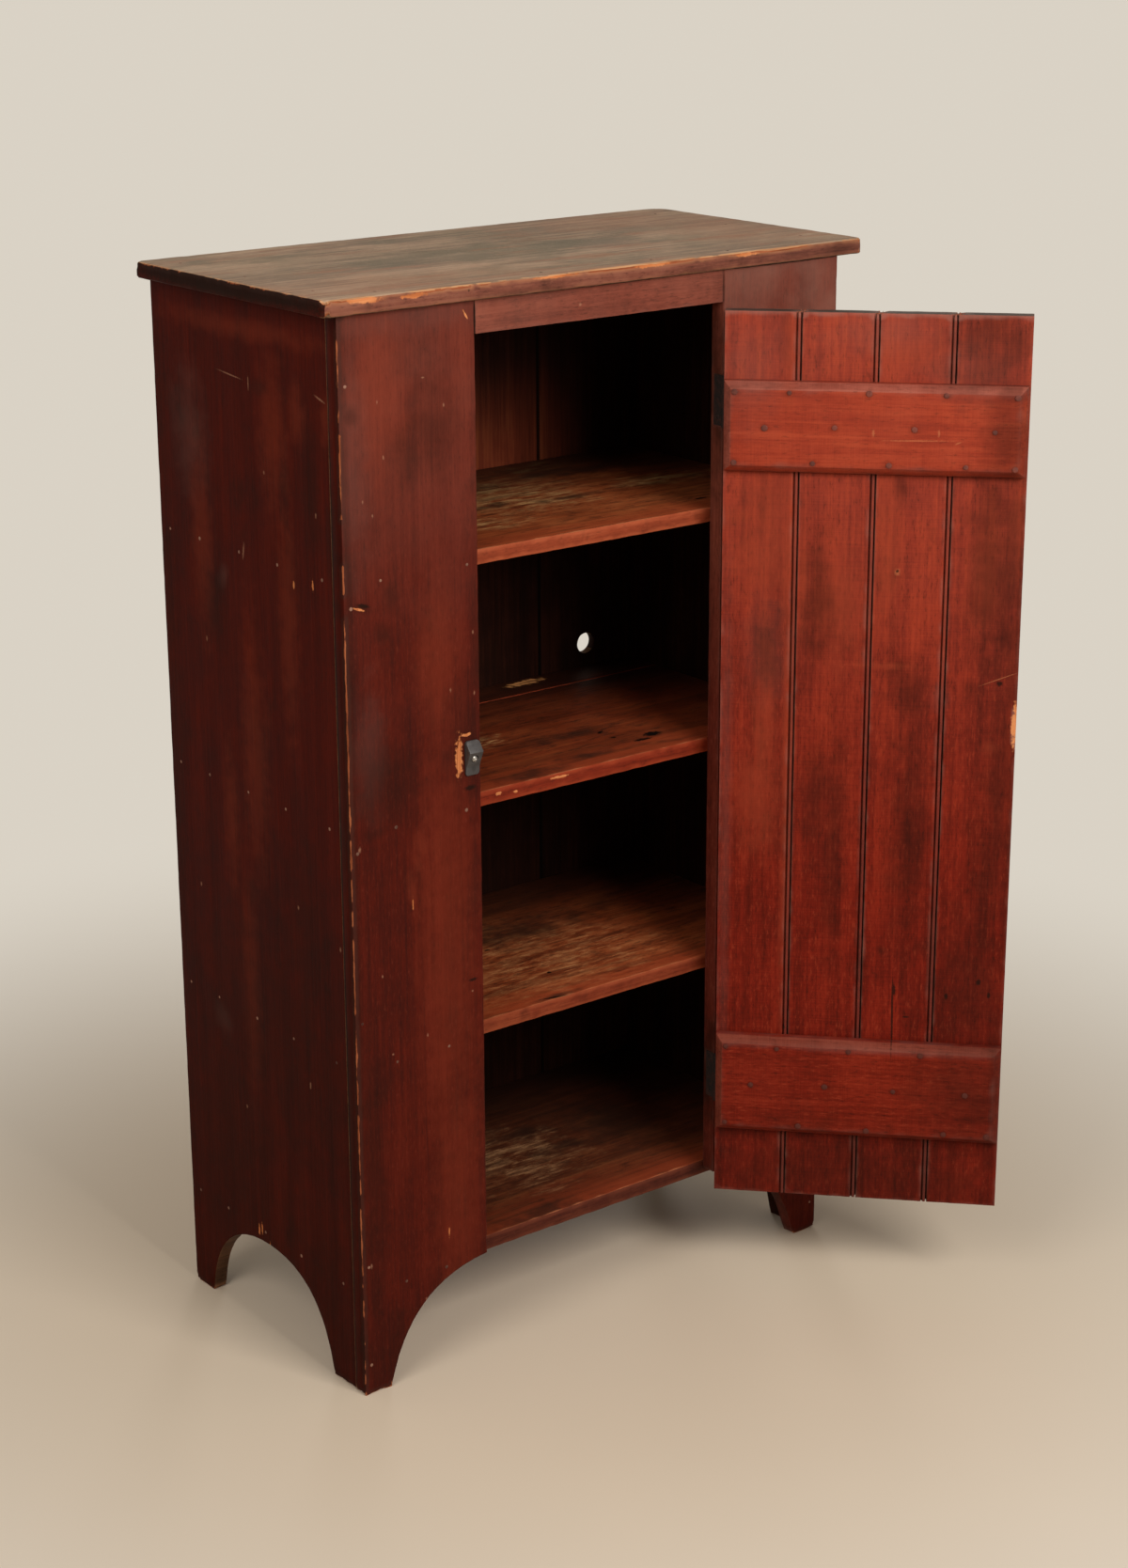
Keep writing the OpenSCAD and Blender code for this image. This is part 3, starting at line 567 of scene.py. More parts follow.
def shelf_finish(name, base, rubbed=(), share=0.75, bare=(0.48, 0.26, 0.1), stains=(), holes=(), orange=()):
    """Pine of a shelf, browned and stained, rubbed yellow in places, with red paint near its front edge.
    It is darker towards its back and its right: painted shade.
    """
    f = Finish(name)
    corner = f.from_corner()
    tone, middle, fine, cloud = streaks(f, "x", 2.2)
    colour = f.toned(tone, base)
    rings = f.noise((0.3, 0.016, 0.02), 3, 0.6, 0.8)
    dirt = f.noise((0.06, 0.018, 0.03), 5, 0.7)
    if rubbed:
        patch = f.spots(corner, "xy", rubbed, 1.4, 1.0, 0.035)
        patch = f.times(patch, f.step(dirt, 0.6, 0.44, share))
        colour = f.mix(patch, colour, bare)
        scrapes = f.noise((0.03, 0.006, 0.01), 5, 0.75)
        pale = f.times(f.step(scrapes, 0.51, 0.59), f.math("POWER", patch, 0.5))
        colour = f.mix(pale, colour, tuple(1.45 * part for part in bare))
        colour = f.over(colour, (0.04, 0.013, 0.007), scrapes, 0.47, 0.39, 0.6)
    front = f.times_plus(rings, 0.1, f.along(corner, "y"))
    colour = f.over(colour, (0.3, 0.046, 0.015), front, 0.15, 0.06, 0.7)
    colour = f.over(colour, (0.06, 0.016, 0.007), rings, 0.52, 0.62, 0.35)
    colour = f.over(colour, (0.035, 0.011, 0.006), dirt, 0.54, 0.74, 0.75)
    # Painted shade: darker towards the back, under the shelf above, and towards the right, beside the right
    # stile
    cloudy = f.noise((0.12, 0.05, 0.05), 4, 0.6)
    back = f.times_plus(cloudy, 0.14, f.along(corner, "y"))
    colour = f.over(colour, (0.016, 0.006, 0.0034), back, 0.25, 0.45, 0.88)
    right = f.times_plus(cloudy, 0.16, f.along(corner, "x"))
    colour = f.over(colour, (0.02, 0.006, 0.0034), right, 0.64, 0.82, 0.6)
    colour = f.marked(colour, (0.03, 0.012, 0.007), 0.8, corner, "xy", stains, 1.6, 1.0, 0.03)
    colour = f.marked(colour, (0.8, 0.34, 0.11), 1.0, corner, "xy", orange, 1.0, 0.3, 0.01)
    colour = f.marked(colour, (0.006, 0.003, 0.002), 1.0, corner, "xy", holes, 0.8, 0.3)
    front_wear = f.times(f.attribute("wear"), f.step(f.along(corner, "y"), 0.24, 0.16))
    colour = f.over(colour, (0.5, 0.17, 0.07), front_wear, 0.35, 0.75, 0.8)
    height = f.times_plus(middle, 0.6, f.times(fine, 0.3))
    return f.finish(colour, f.between(cloud, 0.45, 0.7), height, 0.0006, specular=0.1)


def inner_finish(name, low, high, seams=(), knots=()):
    """Unpainted wood that has browned at the back and inside, with a painted pool of light high up inside at
    the left, where the lamp shines in.
    """
    f = Finish(name)
    corner = f.from_corner()
    across = f.along(corner, "x")
    tone, middle, fine, cloud = streaks(f, "z", 2.2)
    # Painted light: a lighter, warmer patch from about 1.0 to 1.27 m up, fading out between 0.6 and 0.74 m from
    # the left, where the lamp shines in
    height = f.times_plus(cloud, 0.1, f.along(corner, "z"))
    warm = f.times(f.step(height, 1.0, 1.06), f.step(height, 1.27, 1.1))
    warm = f.times(warm, f.step(f.times_plus(cloud, 0.1, across), 0.74, 0.6))
    colour = f.mix(warm, f.toned(tone, low), f.toned(tone, high))
    colour = f.marked(colour, (0.03, 0.013, 0.007), 0.75, corner, "xz", knots, 0.7, 0.6, 0.008)
    for seam in seams:
        aside = f.math("ABSOLUTE", f.math("SUBTRACT", across, seam * MM))
        colour = f.over(colour, (0.004, 0.002, 0.001), aside, 0.0035, 0.002, 0.9)
    return f.finish(colour, f.between(cloud, 0.6, 0.8), f.math("ADD", middle, fine), 0.0004, specular=0.05)


def iron_finish(name, colour, rust, metallic=0.75, roughness=0.5, specular=0.5, patch=0.007, colour_low_down=None):
    """Old iron with rust and wear. The last argument, if given, is its colour below 0.5 m, going over to it
    from 1 m down.
    """
    f = Finish(name)
    pits = f.noise((0.0012,) * 3, 4, 0.6, on=f.place)
    patches = f.noise((patch,) * 3, 4, 0.6, on=f.place)
    shade = f.mix(f.step(patches, 0.42, 0.66), colour, rust)
    if colour_low_down:
        shade = f.mix(f.step(f.along(f.place, "z"), 1.0, 0.5), shade, colour_low_down)
    bright = tuple(min(1.0, 2.6 * part) for part in colour)
    shade = f.mix(f.times(f.attribute("wear"), 0.6), shade, bright)
    rough = f.between(pits, roughness - 0.12, roughness + 0.2)
    return f.finish(shade, rough, pits, 0.0002, metallic, specular)


SIDE_PAINT = paint("oxblood_paint", **SIDE_MARKS, **OXBLOOD_FACE)
# Its seams: the dark joint at the rail's end, and a painted shadow line under the top's overhang
STILE_PAINT = paint("brick_paint", origin=Finish.from_corner, haze=0.1, bare=1.12, rag=0.6, contrast=2.4,
                    seams=[(RAIL_ENDS[0], 1335, 1.6, 27), (98, 1359.5, 100, 1.6)], **STILE_MARKS,
                    **BRICK_FACE)
# Painted light and shade on the right stile's inner edge: lighter rail red high up, this darker red low down,
# and darker patches by the hinges and near the foot for the shade in the gap beside the door
INNER_EDGE = ((0.055, 0.0085, 0.005), (0.105, 0.016, 0.009), (0.15, 0.027, 0.015))
INNER_EDGE_PAINT = paint("inner_edge_paint", INNER_EDGE, RAIL_RED, "z", Finish.from_corner, "yz",
                         (0.75, 1.15), smudge=0.8,
                         smudges=[(10, 1190, 18, 84), (10, 282, 18, 66), (10, 90, 18, 60)])
# Its seams: the dark joint at the rail's end, and a painted shadow line under the top's overhang
RIGHT_STILE_PAINT = paint("hazy_brick_paint", origin=Finish.from_corner, haze=0.55, **BRICK_FACE,
                          seams=[(RAIL_ENDS[1], 1335, 1.6, 27), (670, 1359.5, 100, 1.6)])
RIGHT_SIDE_PAINT = paint("right_side_paint", **OXBLOOD_FACE,
                         smudges=[(120, 900, 60, 220), (300, 420, 70, 200), (200, 40, 240, 120)],
                         glows=[(240, 1150, 60, 120), (90, 500, 30, 180)],
                         pale=[(60, 700, 1, 18, 12), (310, 1010, 14, 1, 20)], seams=[(190, 1373, 235, 12)])
DOOR_OUTSIDE = paint("door_outside_paint", origin=Finish.on_door, haze=0.1, beads=BEADS, **BRICK_FACE,
                     smudges=[(-330, 800, 40, 120), (-60, 400, 40, 160), (-200, 1250, 120, 40)],
                     glows=[(-140, 900, 30, 200), (-250, 500, 30, 160)], orange=FREE_EDGE_CHIP)
DOOR_PAINT = door_finish("orange_red_paint", "z", DOOR_SHADED_LOW, DOOR_LIT_HIGH, beside_battens,
                         beads=BEADS, rubbed=(0.3, 0.13, 0.095), bare=1.5)
BATTEN_PAINTS = {
    batten: door_finish(f"{batten}_paint", "x", BATTEN_SHADED_LOW, BATTEN_LIT_HIGH, on_batten(batten), grime=0.15)
    for batten in BATTENS}
LIT_BEVEL_PAINTS = {
    batten: door_finish(f"{batten}_dusty_bevel", "x", tones, tones, on_batten(batten), grime=0.2,
                        rubbed=tuple(1.15 * part for part in tones[2]))
    for batten, tones in LIT_BEVEL_TONES.items()}
END_GRAIN = edge_finish("dark_end_grain", ((0.02, 0.014, 0.01), (0.045, 0.03, 0.024), (0.085, 0.055, 0.045)),
                        rubbed=(0.19, 0.095, 0.07))
SAWN_EDGE = edge_finish("sawn_edge", SAWN, rubbed=(0.3, 0.14, 0.07))
# Its seams: a painted shadow line under the top's overhang, and the dark joints at the rail's ends
RAIL_PAINT = edge_finish("rail_paint", RAIL_RED, haze=0.2, pale=[(348, 1338, 2, 1.6)],
                         seams=[(384, 1359.5, 200, 1.6), *((end, 1335, 1.6, 27) for end in RAIL_ENDS)])
SHELF_FRONTS = {
    shelf: edge_finish(f"{shelf}_shelf_edge_paint", tones, rubbed=tuple(1.4 * part for part in tones[2]),
                       grime=0.5, orange=[(235, 745, 5, 2), (262, 742, 3, 2), (330, 747, 12, 1.5)])
    for shelf, tones in SHELF_EDGES.items()}
TOP_FRONT = edge_finish(
    "rubbed_top_edge", DULL_EDGE, rubbed=(0.42, 0.17, 0.075), bare=0.8, grime=0.5,
    dark=[(175, 1373, 1.6, 1.6)], smudges=[(250, 1363, 60, 3), (520, 1362, 40, 3), (760, 1370, 30, 10)],
    orange=[(28, 1376, 26, 3, 4), (100, 1374, 16, 2.4), (300, 1377, 26, 2), (450, 1377, 30, 2.4),
            (600, 1376, 20, 2)])
TOP = top_finish()
DARK_PINE = ((0.006, 0.0024, 0.0012), (0.017, 0.0046, 0.0022), (0.04, 0.01, 0.0044))
# Painted light: the lit colour of the inside wood's patch
LIT_PINE = ((0.04, 0.008, 0.0034), (0.11, 0.019, 0.0074), (0.22, 0.05, 0.016))
PINE_TOP = ((0.15, 0.028, 0.009), (0.33, 0.072, 0.02), (0.47, 0.14, 0.042))
PINE_MIDDLE = ((0.09, 0.015, 0.005), (0.2, 0.034, 0.01), (0.31, 0.068, 0.019))
PINE_LOWER = ((0.15, 0.026, 0.008), (0.31, 0.062, 0.017), (0.42, 0.115, 0.034))
PINE_BOTTOM = ((0.042, 0.01, 0.0044), (0.105, 0.025, 0.0095), (0.185, 0.054, 0.018))
BACK_PINE = ((0.06, 0.03, 0.016), (0.13, 0.065, 0.034), (0.21, 0.115, 0.062))
INSIDE = inner_finish("inside_pine", DARK_PINE, LIT_PINE, (205, 400, 585))
OUTSIDE_BACK = inner_finish(
    "outside_back_pine", BACK_PINE, BACK_PINE,
    knots=[(110, 910, 8, 12), (64, 380, 6, 8, 20), (300, 420, 9, 13, 10), (505, 1160, 7, 10, -5),
           (660, 620, 9, 13), (345, 1240, 6, 8), (470, 760, 5, 7), (720, 1010, 6, 9)])
SHELF_UPPER = shelf_finish(
    "upper_shelf_pine", PINE_TOP, holes=[(598, 70, 10, 3)],
    rubbed=[(405, 245, 70, 70), (545, 360, 34, 16), (629, 193, 44, 20), (300, 120, 40, 20)],
    stains=[(530, 318, 60, 14), (360, 200, 40, 8), (590, 300, 50, 16), (470, 180, 40, 8)])
SHELF_MIDDLE = shelf_finish(
    "middle_shelf_pine", PINE_MIDDLE, rubbed=[(341, 195, 16, 20)], orange=[(545, 376, 28, 9, 4)],
    stains=[(430, 140, 60, 12), (300, 40, 40, 14), (400, 60, 30, 8)],
    holes=[(479, 127, 7, 2.4, 30), (478, 98, 4, 2.4), (502, 68, 13, 4), (528, 80, 13, 8),
           (552, 376, 26, 1.2, 3)])
SHELF_LOWER = shelf_finish(
    "lower_shelf_pine", PINE_LOWER, rubbed=[(385, 140, 110, 90)], share=0.4, bare=(0.44, 0.19, 0.07),
    stains=[(330, 30, 30, 5), (420, 250, 120, 30)],
    holes=[(355, 215, 4, 2.4), (372, 100, 3, 3), (330, 26, 24, 2, -12)])
BOTTOM = shelf_finish(
    "bottom_pine", PINE_BOTTOM, rubbed=[(370, 190, 60, 60)], share=0.5, bare=(0.34, 0.17, 0.075),
    stains=[(440, 240, 26, 16), (447, 176, 46, 12), (560, 200, 60, 60), (300, 30, 60, 20)])
IRON = iron_finish("black_iron", (0.018, 0.013, 0.011), (0.036, 0.016, 0.012), 0.2, 0.7, 0.2)
BUTTON_IRON = iron_finish("rubbed_iron", (0.04, 0.036, 0.034), (0.024, 0.019, 0.017), 0.45, 0.5)
NAIL_IRON = iron_finish("nail_iron", (0.17, 0.046, 0.031), (0.09, 0.03, 0.022), 0.0, 0.7, 0.1, 0.03,
                        (0.085, 0.022, 0.015))
BRAD_IRON = iron_finish("brad_iron", (0.26, 0.13, 0.085), (0.045, 0.016, 0.011), 0.0, 0.6, 0.1, 0.05)
SCREW_STEEL = iron_finish("bright_steel", (0.5, 0.48, 0.44), (0.26, 0.22, 0.18), 0.8, 0.35)


# Geometry node trees


class Shape(Nodes):
    """A geometry node tree in the making, with named inputs."""

    KINDS = {float: "NodeSocketFloat", int: "NodeSocketInt", bpy.types.Material: "NodeSocketMaterial"}
    BLOWS = 420  # scale of the noise that dents a hammered head

    def __init__(self, name, **sizes):
        super().__init__(bpy.data.node_groups.new(name, "GeometryNodeTree"))
        face = self.tree.interface
        face.new_socket("Geometry", in_out="OUTPUT", socket_type="NodeSocketGeometry")
        face.new_socket("Geometry", in_out="INPUT", socket_type="NodeSocketGeometry")
        self.keys = {}
        for label, value in sizes.items():
            kind = self.KINDS[type(value)]
            made = face.new_socket(label.replace("_", " "), in_out="INPUT", socket_type=kind)
            made.default_value = value
            self.keys[label] = made.identifier
        self.inputs = self.tree.nodes.new("NodeGroupInput").outputs

    def size(self, label):
        return self.inputs[label.replace("_", " ")]

    def transformed(self, geometry, move=(0, 0, 0), turn=(0, 0, 0), scale=(1, 1, 1)):
        sockets = {"Geometry": geometry, "Translation": move, "Rotation": turn, "Scale": scale}
        return self.node("GeometryNodeTransform", sockets)

    def vector(self, x=0.0, y=0.0, z=0.0):
        return self.node("ShaderNodeCombineXYZ", {0: x, 1: y, 2: z})

    def joined(self, *parts):
        join = self.tree.nodes.new("GeometryNodeJoinGeometry")
        for part in parts:
            self.tree.links.new(part, join.inputs[0])
        return join.outputs[0]

    def placed(self, shape):
        """Sets the shape on every point, facing along its facing attribute, and ends the tree."""
        facing = self.node("GeometryNodeInputNamedAttribute", {"Name": "facing"}, data_type="FLOAT_VECTOR")
        aim = self.node("FunctionNodeAlignRotationToVector", {"Vector": facing}, axis="Z")
        tilt = self.times(self.size("Tilt"), -1.0)
        low = self.vector(tilt, tilt, -math.pi)
        high = self.vector(self.size("Tilt"), self.size("Tilt"), math.pi)
        sockets = {0: low, 1: high, "Seed": self.size("Seed")}
        spin = self.node("FunctionNodeRandomValue", sockets, data_type="FLOAT_VECTOR")
        spin = self.node("FunctionNodeEulerToRotation", {0: spin})
        aim = self.node("FunctionNodeRotateRotation", {0: aim, 1: spin}, rotation_space="LOCAL")
        size = self.tree.nodes.new("FunctionNodeRandomValue")
        size.data_type = "FLOAT"
        for label, operation in (("Min", "SUBTRACT"), ("Max", "ADD")):
            limit = next(s for s in size.inputs if s.name == label and s.type == "VALUE")
            self.plug(limit, self.math(operation, 1.0, self.size("Variation")))
        self.plug(size.inputs["Seed"], self.size("Seed"))
        size = next(s for s in size.outputs if s.type == "VALUE")
        shape = self.transformed(shape, self.vector(z=self.times(self.size("Sink"), -1.0)))
        sockets = {"Points": self.inputs["Geometry"], "Instance": shape, "Rotation": aim, "Scale": size}
        made = self.node("GeometryNodeInstanceOnPoints", sockets)
        made = self.node("GeometryNodeRealizeInstances", {0: made})
        blows = self.node("ShaderNodeTexNoise", {"Scale": self.BLOWS}, "Color")
        middle = self.vector_math("SUBTRACT", {0: blows, 1: (0.5, 0.5, 0.5)})
        push = self.vector_math("SCALE", {0: middle, "Scale": self.size("Knocks")})
        made = self.node("GeometryNodeSetPosition", {"Geometry": made, "Offset": push})
        self.end(self.node("GeometryNodeSetShadeSmooth", {"Geometry": made}), "Metal")

    def end(self, geometry, material):
        """Ends the tree with plain geometry in a material."""
        made = self.node("GeometryNodeRealizeInstances", {0: geometry})
        made = self.node("GeometryNodeSetMaterial", {"Geometry": made, "Material": self.size(material)})
        self.plug(self.tree.nodes.new("NodeGroupOutput").inputs[0], made)


def baked(shape, name, mesh, **sizes):
    """An object with the plain mesh that a tree makes from another mesh."""
    made = bpy.data.objects.new(name, mesh)
    bpy.context.scene.collection.objects.link(made)
    modifier = made.modifiers.new(shape.tree.name, "NODES")
    modifier.node_group = shape.tree
    for label, value in sizes.items():
        modifier[shape.keys[label]] = value
    depsgraph = bpy.context.evaluated_depsgraph_get()
    plain = bpy.data.meshes.new_from_object(made.evaluated_get(depsgraph))
    made.modifiers.remove(modifier)
    made.data = plain
    return made


# Wooden pieces

RING_NEAR = 0.0025  # width of the strip beside an arris that is worn most
RING_FAR = 0.0095  # past this distance from an arris a face is flat
WAVES = 60  # how often wear grows and fades in a metre
SHRUNK = 0.0005  # wood has shrunk by this much round the nails of the top and the back
SWOLLEN = 0.00058  # back boards have swollen by this much on each side, so that no light shows between them


def arrises(bm, least=40):
    """The edges that stand out, where two faces meet at more than an angle in degrees."""
    return [edge for edge in bm.edges
            if len(edge.link_faces) == 2 and edge.calc_face_angle_signed(0) > math.radians(least)]


def cut_places(low, high, grid):
    """Where a board is cut across: twice near each end, and evenly between."""
    if high - low < 2.5 * RING_FAR:
        return [low + (high - low) / 2]
    inner_low, inner_high = low + RING_FAR, high - RING_FAR
    count = max(1, round((inner_high - inner_low) / grid))
    between = [inner_low + (inner_high - inner_low) * step / count for step in range(count + 1)]
    return [low + RING_NEAR] + between + [high - RING_NEAR]


def cut_up(bm, axes, grid):
    """Cuts a board's faces into a grid, so that wear can move them and fade across them."""
    for axis in axes:
        heights = [vert.co.dot(axis) for vert in bm.verts]
        for place in cut_places(min(heights), max(heights), grid):
            everything = bm.verts[:] + bm.edges[:] + bm.faces[:]
            bmesh.ops.bisect_plane(bm, geom=everything, dist=2 * CLOSE, plane_co=axis * place, plane_no=axis)


def arris_samples(edges, spacing=0.005):
    """Points along the arrises, each with the ends of its arris and the direction into the wood."""
    samples = []
    for edge in edges:
        inward = -(edge.link_faces[0].normal + edge.link_faces[1].normal).normalized()
        start, end = (vert.co.copy() for vert in edge.verts)
        steps = math.ceil(edge.calc_length() / spacing)
        samples += [(start.lerp(end, k / steps), start, end, inward) for k in range(steps + 1)]
    return samples


def shrink(bm, way, depth=SHRUNK):
    """Lowers the face that looks that way."""
    outermost = max(vert.co.dot(way) for vert in bm.verts)
    for vert in bm.verts:
        if vert.co.dot(way) > outermost - CLOSE:
            vert.co -= way * depth
    bm.normal_update()


def worn_board(node, body, finishes, number, arris=0.0012, depth=0.0012, wear=lambda p: 0.35,
               grid=0.012, least=40, shrunk=None, shape=None):
    """Copies a node's mesh, or takes the shape that is given for it, and wears its arrises.

    finishes is a list of (direction, material), and a face takes the material of the direction that it
    faces most. number sets its grain and wear apart from those of other boards. arris is the width of its
    bevels, depth how deep wear goes, grid the size of the cells that its faces are cut into. wear(point)
    gives how worn an arris is there, from 0 to 1, or more for a chip.
    """
    axes = DOOR_AXES if body == "door" else CASE_AXES
    bm = shape or cad_copy(node)
    if shrunk:
        shrink(bm, shrunk)
    edges = arrises(bm, least)
    samples = arris_samples(edges)
    nearest = kdtree.KDTree(len(samples))
    for index, sample in enumerate(samples):
        nearest.insert(sample[0], index)
    nearest.balance()
    bmesh.ops.bevel(bm, geom=edges, offset=arris, offset_type="OFFSET", segments=3, profile=0.5,
                    affect="EDGES", clamp_overlap=True)
    cut_up(bm, axes, grid)
    near = bm.verts.layers.float.new("wear")
    board = bm.verts.layers.float.new("board")
    for vert in bm.verts:
        _, start, end, inward = samples[nearest.find(vert.co)[1]]
        foot, along = geometry.intersect_point_line(vert.co, start, end)
        foot = start.lerp(end, min(1.0, max(0.0, along)))
        share = max(0.0, 1 - (vert.co - foot).length / RING_FAR)
        amount = wear(vert.co)
        rough = 0.5 + noise.fractal(vert.co * WAVES + Vector((number, 0, 0)), 1.0, 2.0, 3)
        vert[near] = share * min(1.0, amount * (0.7 + 0.6 * rough))
        vert[board] = number
        vert.co += inward * depth * amount * max(0.0, rough) * share ** 3
    directions = [axes[0] * d.x + axes[1] * d.y + axes[2] * d.z for d, _ in finishes]
    for edge in bm.edges:
        edge.smooth = len(edge.link_faces) < 2 or abs(edge.calc_face_angle(0)) < SMOOTH_BELOW
    for face in bm.faces:
        face.smooth = True
        face.material_index = max(range(len(finishes)), key=lambda i: face.normal.dot(directions[i]))
    return finished(bm, node + "_wood", [material for _, material in finishes], body, [node])


def finished(bm, name, materials, body, nodes):
    """Makes the piece, with its place in its mesh, attaches it to its body and hides the CAD nodes that it
    stands for.
    """
    mesh = bpy.data.meshes.new(name)
    bm.to_mesh(mesh)
    bm.free()
    for material in materials:
        mesh.materials.append(material)
    piece = bpy.data.objects.new(name, mesh)
    bpy.context.scene.collection.objects.link(piece)
    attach(piece, body)
    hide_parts(*nodes)
    return piece


def by_direction(default, **named):
    """Finishes for the six directions, with a default for those that aren't named."""
    return [(way, named.get(name, default)) for name, way in WAYS.items()]


FOOT = 9  # height in millimetres of the part of a foot that is knocked round
FOOT_WEAR = 2.2
TOP_CORNER = 9  # millimetres of a corner of the top that are rounded
TOP_LEFT, TOP_FRONT_Y = (at_case(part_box("top_board")[0])[axis] for axis in (0, 1))
TOP_RIGHT, TOP_BACK_Y = (at_case(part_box("top_board")[1])[axis] for axis in (0, 1))


def worn_top(point):
    """The top's corners are rounded, and its front edge is rubbed bare, most of all in four places."""
    p = at_case(point)
    aside, before = min(p.x - TOP_LEFT, TOP_RIGHT - p.x), min(p.y - TOP_FRONT_Y, TOP_BACK_Y - p.y)
    if max(aside, before) < TOP_CORNER:
        return 4.5
    if p.x < TOP_LEFT + 12 and p.z > 1374:
        return 0.86
    if p.y > 25 or p.z < 1370:
        return 0.35
    most = max(1 - abs(p.x - x) / half for x, half in ((-10, 60), (150, 60), (430, 120), (640, 80)))
    return 0.66 + 0.9 * max(0.0, most)


def worn_corner(point):
    """The case's left front corner is rubbed bare, most from 0.72 to 1.13 m, and its foot is rounded."""
    p = at_case(point)
    foot = FOOT_WEAR if p.z < FOOT else 0.0
    if p.x < 12 and p.y < 12:
        smudged = abs(p.z - 1100) < 26 or abs(p.z - 1021) < 12
        return max(foot, 0.3 if smudged else (1.02 if p.z < 720 else 1.25 if p.z < 1130 else 0.98))
    return max(foot, 0.3)


def worn_foot(point):
    """Feet are knocked round at the floor."""
    return FOOT_WEAR if at_case(point).z < FOOT else 0.3


DOOR_JOINTS = (95.2, 190.2, 284.2)  # millimetres from the hinge pin


def worn_door(point):
    """The door's free edge is chipped beside the turn button, and board ends are rounded at the joints."""
    p = at_door(point)
    if p.x > 365 and abs(p.z - 795) < 28:
        return 1.6
    if p.z < 1306:
        return 0.32
    return 3.5 if min(abs(p.x - joint) for joint in DOOR_JOINTS) < 5 else 0.6


worn_board("top_board", "case",
           by_direction(TOP_FRONT, over=TOP, under=OUTSIDE_BACK, left=SIDE_PAINT, right=RIGHT_SIDE_PAINT),
           1.3, 0.0022, 0.0024, worn_top, 0.008, shrunk=WAYS["over"])
worn_board("left_side", "case", by_direction(SIDE_PAINT, right=INSIDE, front=SAWN_EDGE, under=SAWN_EDGE),
           2.1, wear=worn_foot)
worn_board("right_side", "case",
           by_direction(RIGHT_SIDE_PAINT, left=INSIDE, front=SAWN_EDGE, under=SAWN_EDGE),
           3.7, wear=worn_foot)
worn_board("left_stile", "case", by_direction(STILE_PAINT, back=INSIDE, left=SIDE_PAINT),
           4.2, 0.0009, 0.0014, worn_corner, 0.008)
worn_board("right_stile", "case",
           by_direction(RIGHT_STILE_PAINT, left=INNER_EDGE_PAINT, back=INSIDE, right=RIGHT_SIDE_PAINT,
                        under=SAWN_EDGE),
           5.9, wear=worn_foot)
worn_board("top_rail", "case", by_direction(RAIL_PAINT, back=INSIDE), 6.4, 0.0006)

SHELVES = [("upper_shelf", SHELF_UPPER), ("middle_shelf", SHELF_MIDDLE), ("middle_shelf_strip", SHELF_MIDDLE),
           ("lower_shelf", SHELF_LOWER), ("bottom_board", BOTTOM)]
for count, (shelf, finish) in enumerate(SHELVES):
    front = SHELF_FRONTS[shelf.split("_")[0]]
    worn_board(shelf, "case", by_direction(finish, front=front), 7.3 + 1.9 * count, wear=lambda p: 0.6)
for count in range(4):
    name = f"back_board_{count + 1}"
    board = cad_copy(name)
    for way, last in (("left", 0), ("right", 3)):
        if count != last:
            shrink(board, WAYS[way], -SWOLLEN)
    worn_board(name, "case", by_direction(OUTSIDE_BACK, front=INSIDE, left=INSIDE, right=INSIDE),
               20.7 + 2.3 * count, grid=0.03, shrunk=WAYS["back"], shape=board)
    worn_board(f"door_board_{count + 1}", "door",
               by_direction(DOOR_PAINT, front=DOOR_OUTSIDE, over=END_GRAIN, under=END_GRAIN),
               31.1 + 2.7 * count, 0.0005, 0.0006, worn_door)


def batten_tree():
    """A board bevelled on the four edges of its inner face; the middle of its outer face is the origin."""
    shape = Shape("bevelled_batten", Length=0.37, Height=0.12, Thickness=0.02, Bevel_width=0.012,
                  Bevel_depth=0.007, Paint=DOOR_PAINT)
    shoulder = shape.math("SUBTRACT", shape.size("Thickness"), shape.size("Bevel_depth"))
    both = shape.times(shape.size("Bevel_width"), -2.0)
    outlines = []
    for inward, less in ((0.0, 0.0), (shoulder, 0.0), (shape.size("Thickness"), both)):
        sides = {side: shape.math("ADD", shape.size(label), less)
                 for side, label in (("Width", "Length"), ("Height", "Height"))}
        outline = shape.node("GeometryNodeCurvePrimitiveQuadrilateral", sides)
        upright = (math.pi / 2, 0, 0)
        outlines.append(shape.transformed(outline, shape.vector(y=inward), upright))
    shape.end(shape.node("GeometryNodeConvexHull", {0: shape.joined(*outlines)}), "Paint")
    return shape


def bevelled_batten(node, shape, paint):
    """A batten made by the tree, with the sizes of the CAD's, and set where that one is."""
    door = Matrix([(*axis, 0) for axis in DOOR_AXES]).to_3x3()
    points = [door @ vert.co for vert in cad_copy(node).verts]
    low, high = (Vector([limit(point[axis] for point in points) for axis in range(3)])
                 for limit in (min, max))
    face = [point for point in points if point.y > high.y - CLOSE]
    edge = [point for point in points if point.x < low.x + CLOSE]
    made = baked(shape, node + "_made", bpy.data.meshes.new(node + "_made"), Length=high.x - low.x,
                 Height=high.z - low.z, Thickness=high.y - low.y, Paint=paint,
                 Bevel_width=min(point.x for point in face) - low.x,
                 Bevel_depth=high.y - max(point.y for point in edge))
    bm = clean_copy(made.data)
    bpy.data.objects.remove(made)
    middle = Vector(((low.x + high.x) / 2, low.y, (low.z + high.z) / 2))
    bmesh.ops.transform(bm, matrix=door.inverted().to_4x4() @ Matrix.Translation(middle), verts=bm.verts)
    bm.normal_update()
    return bm


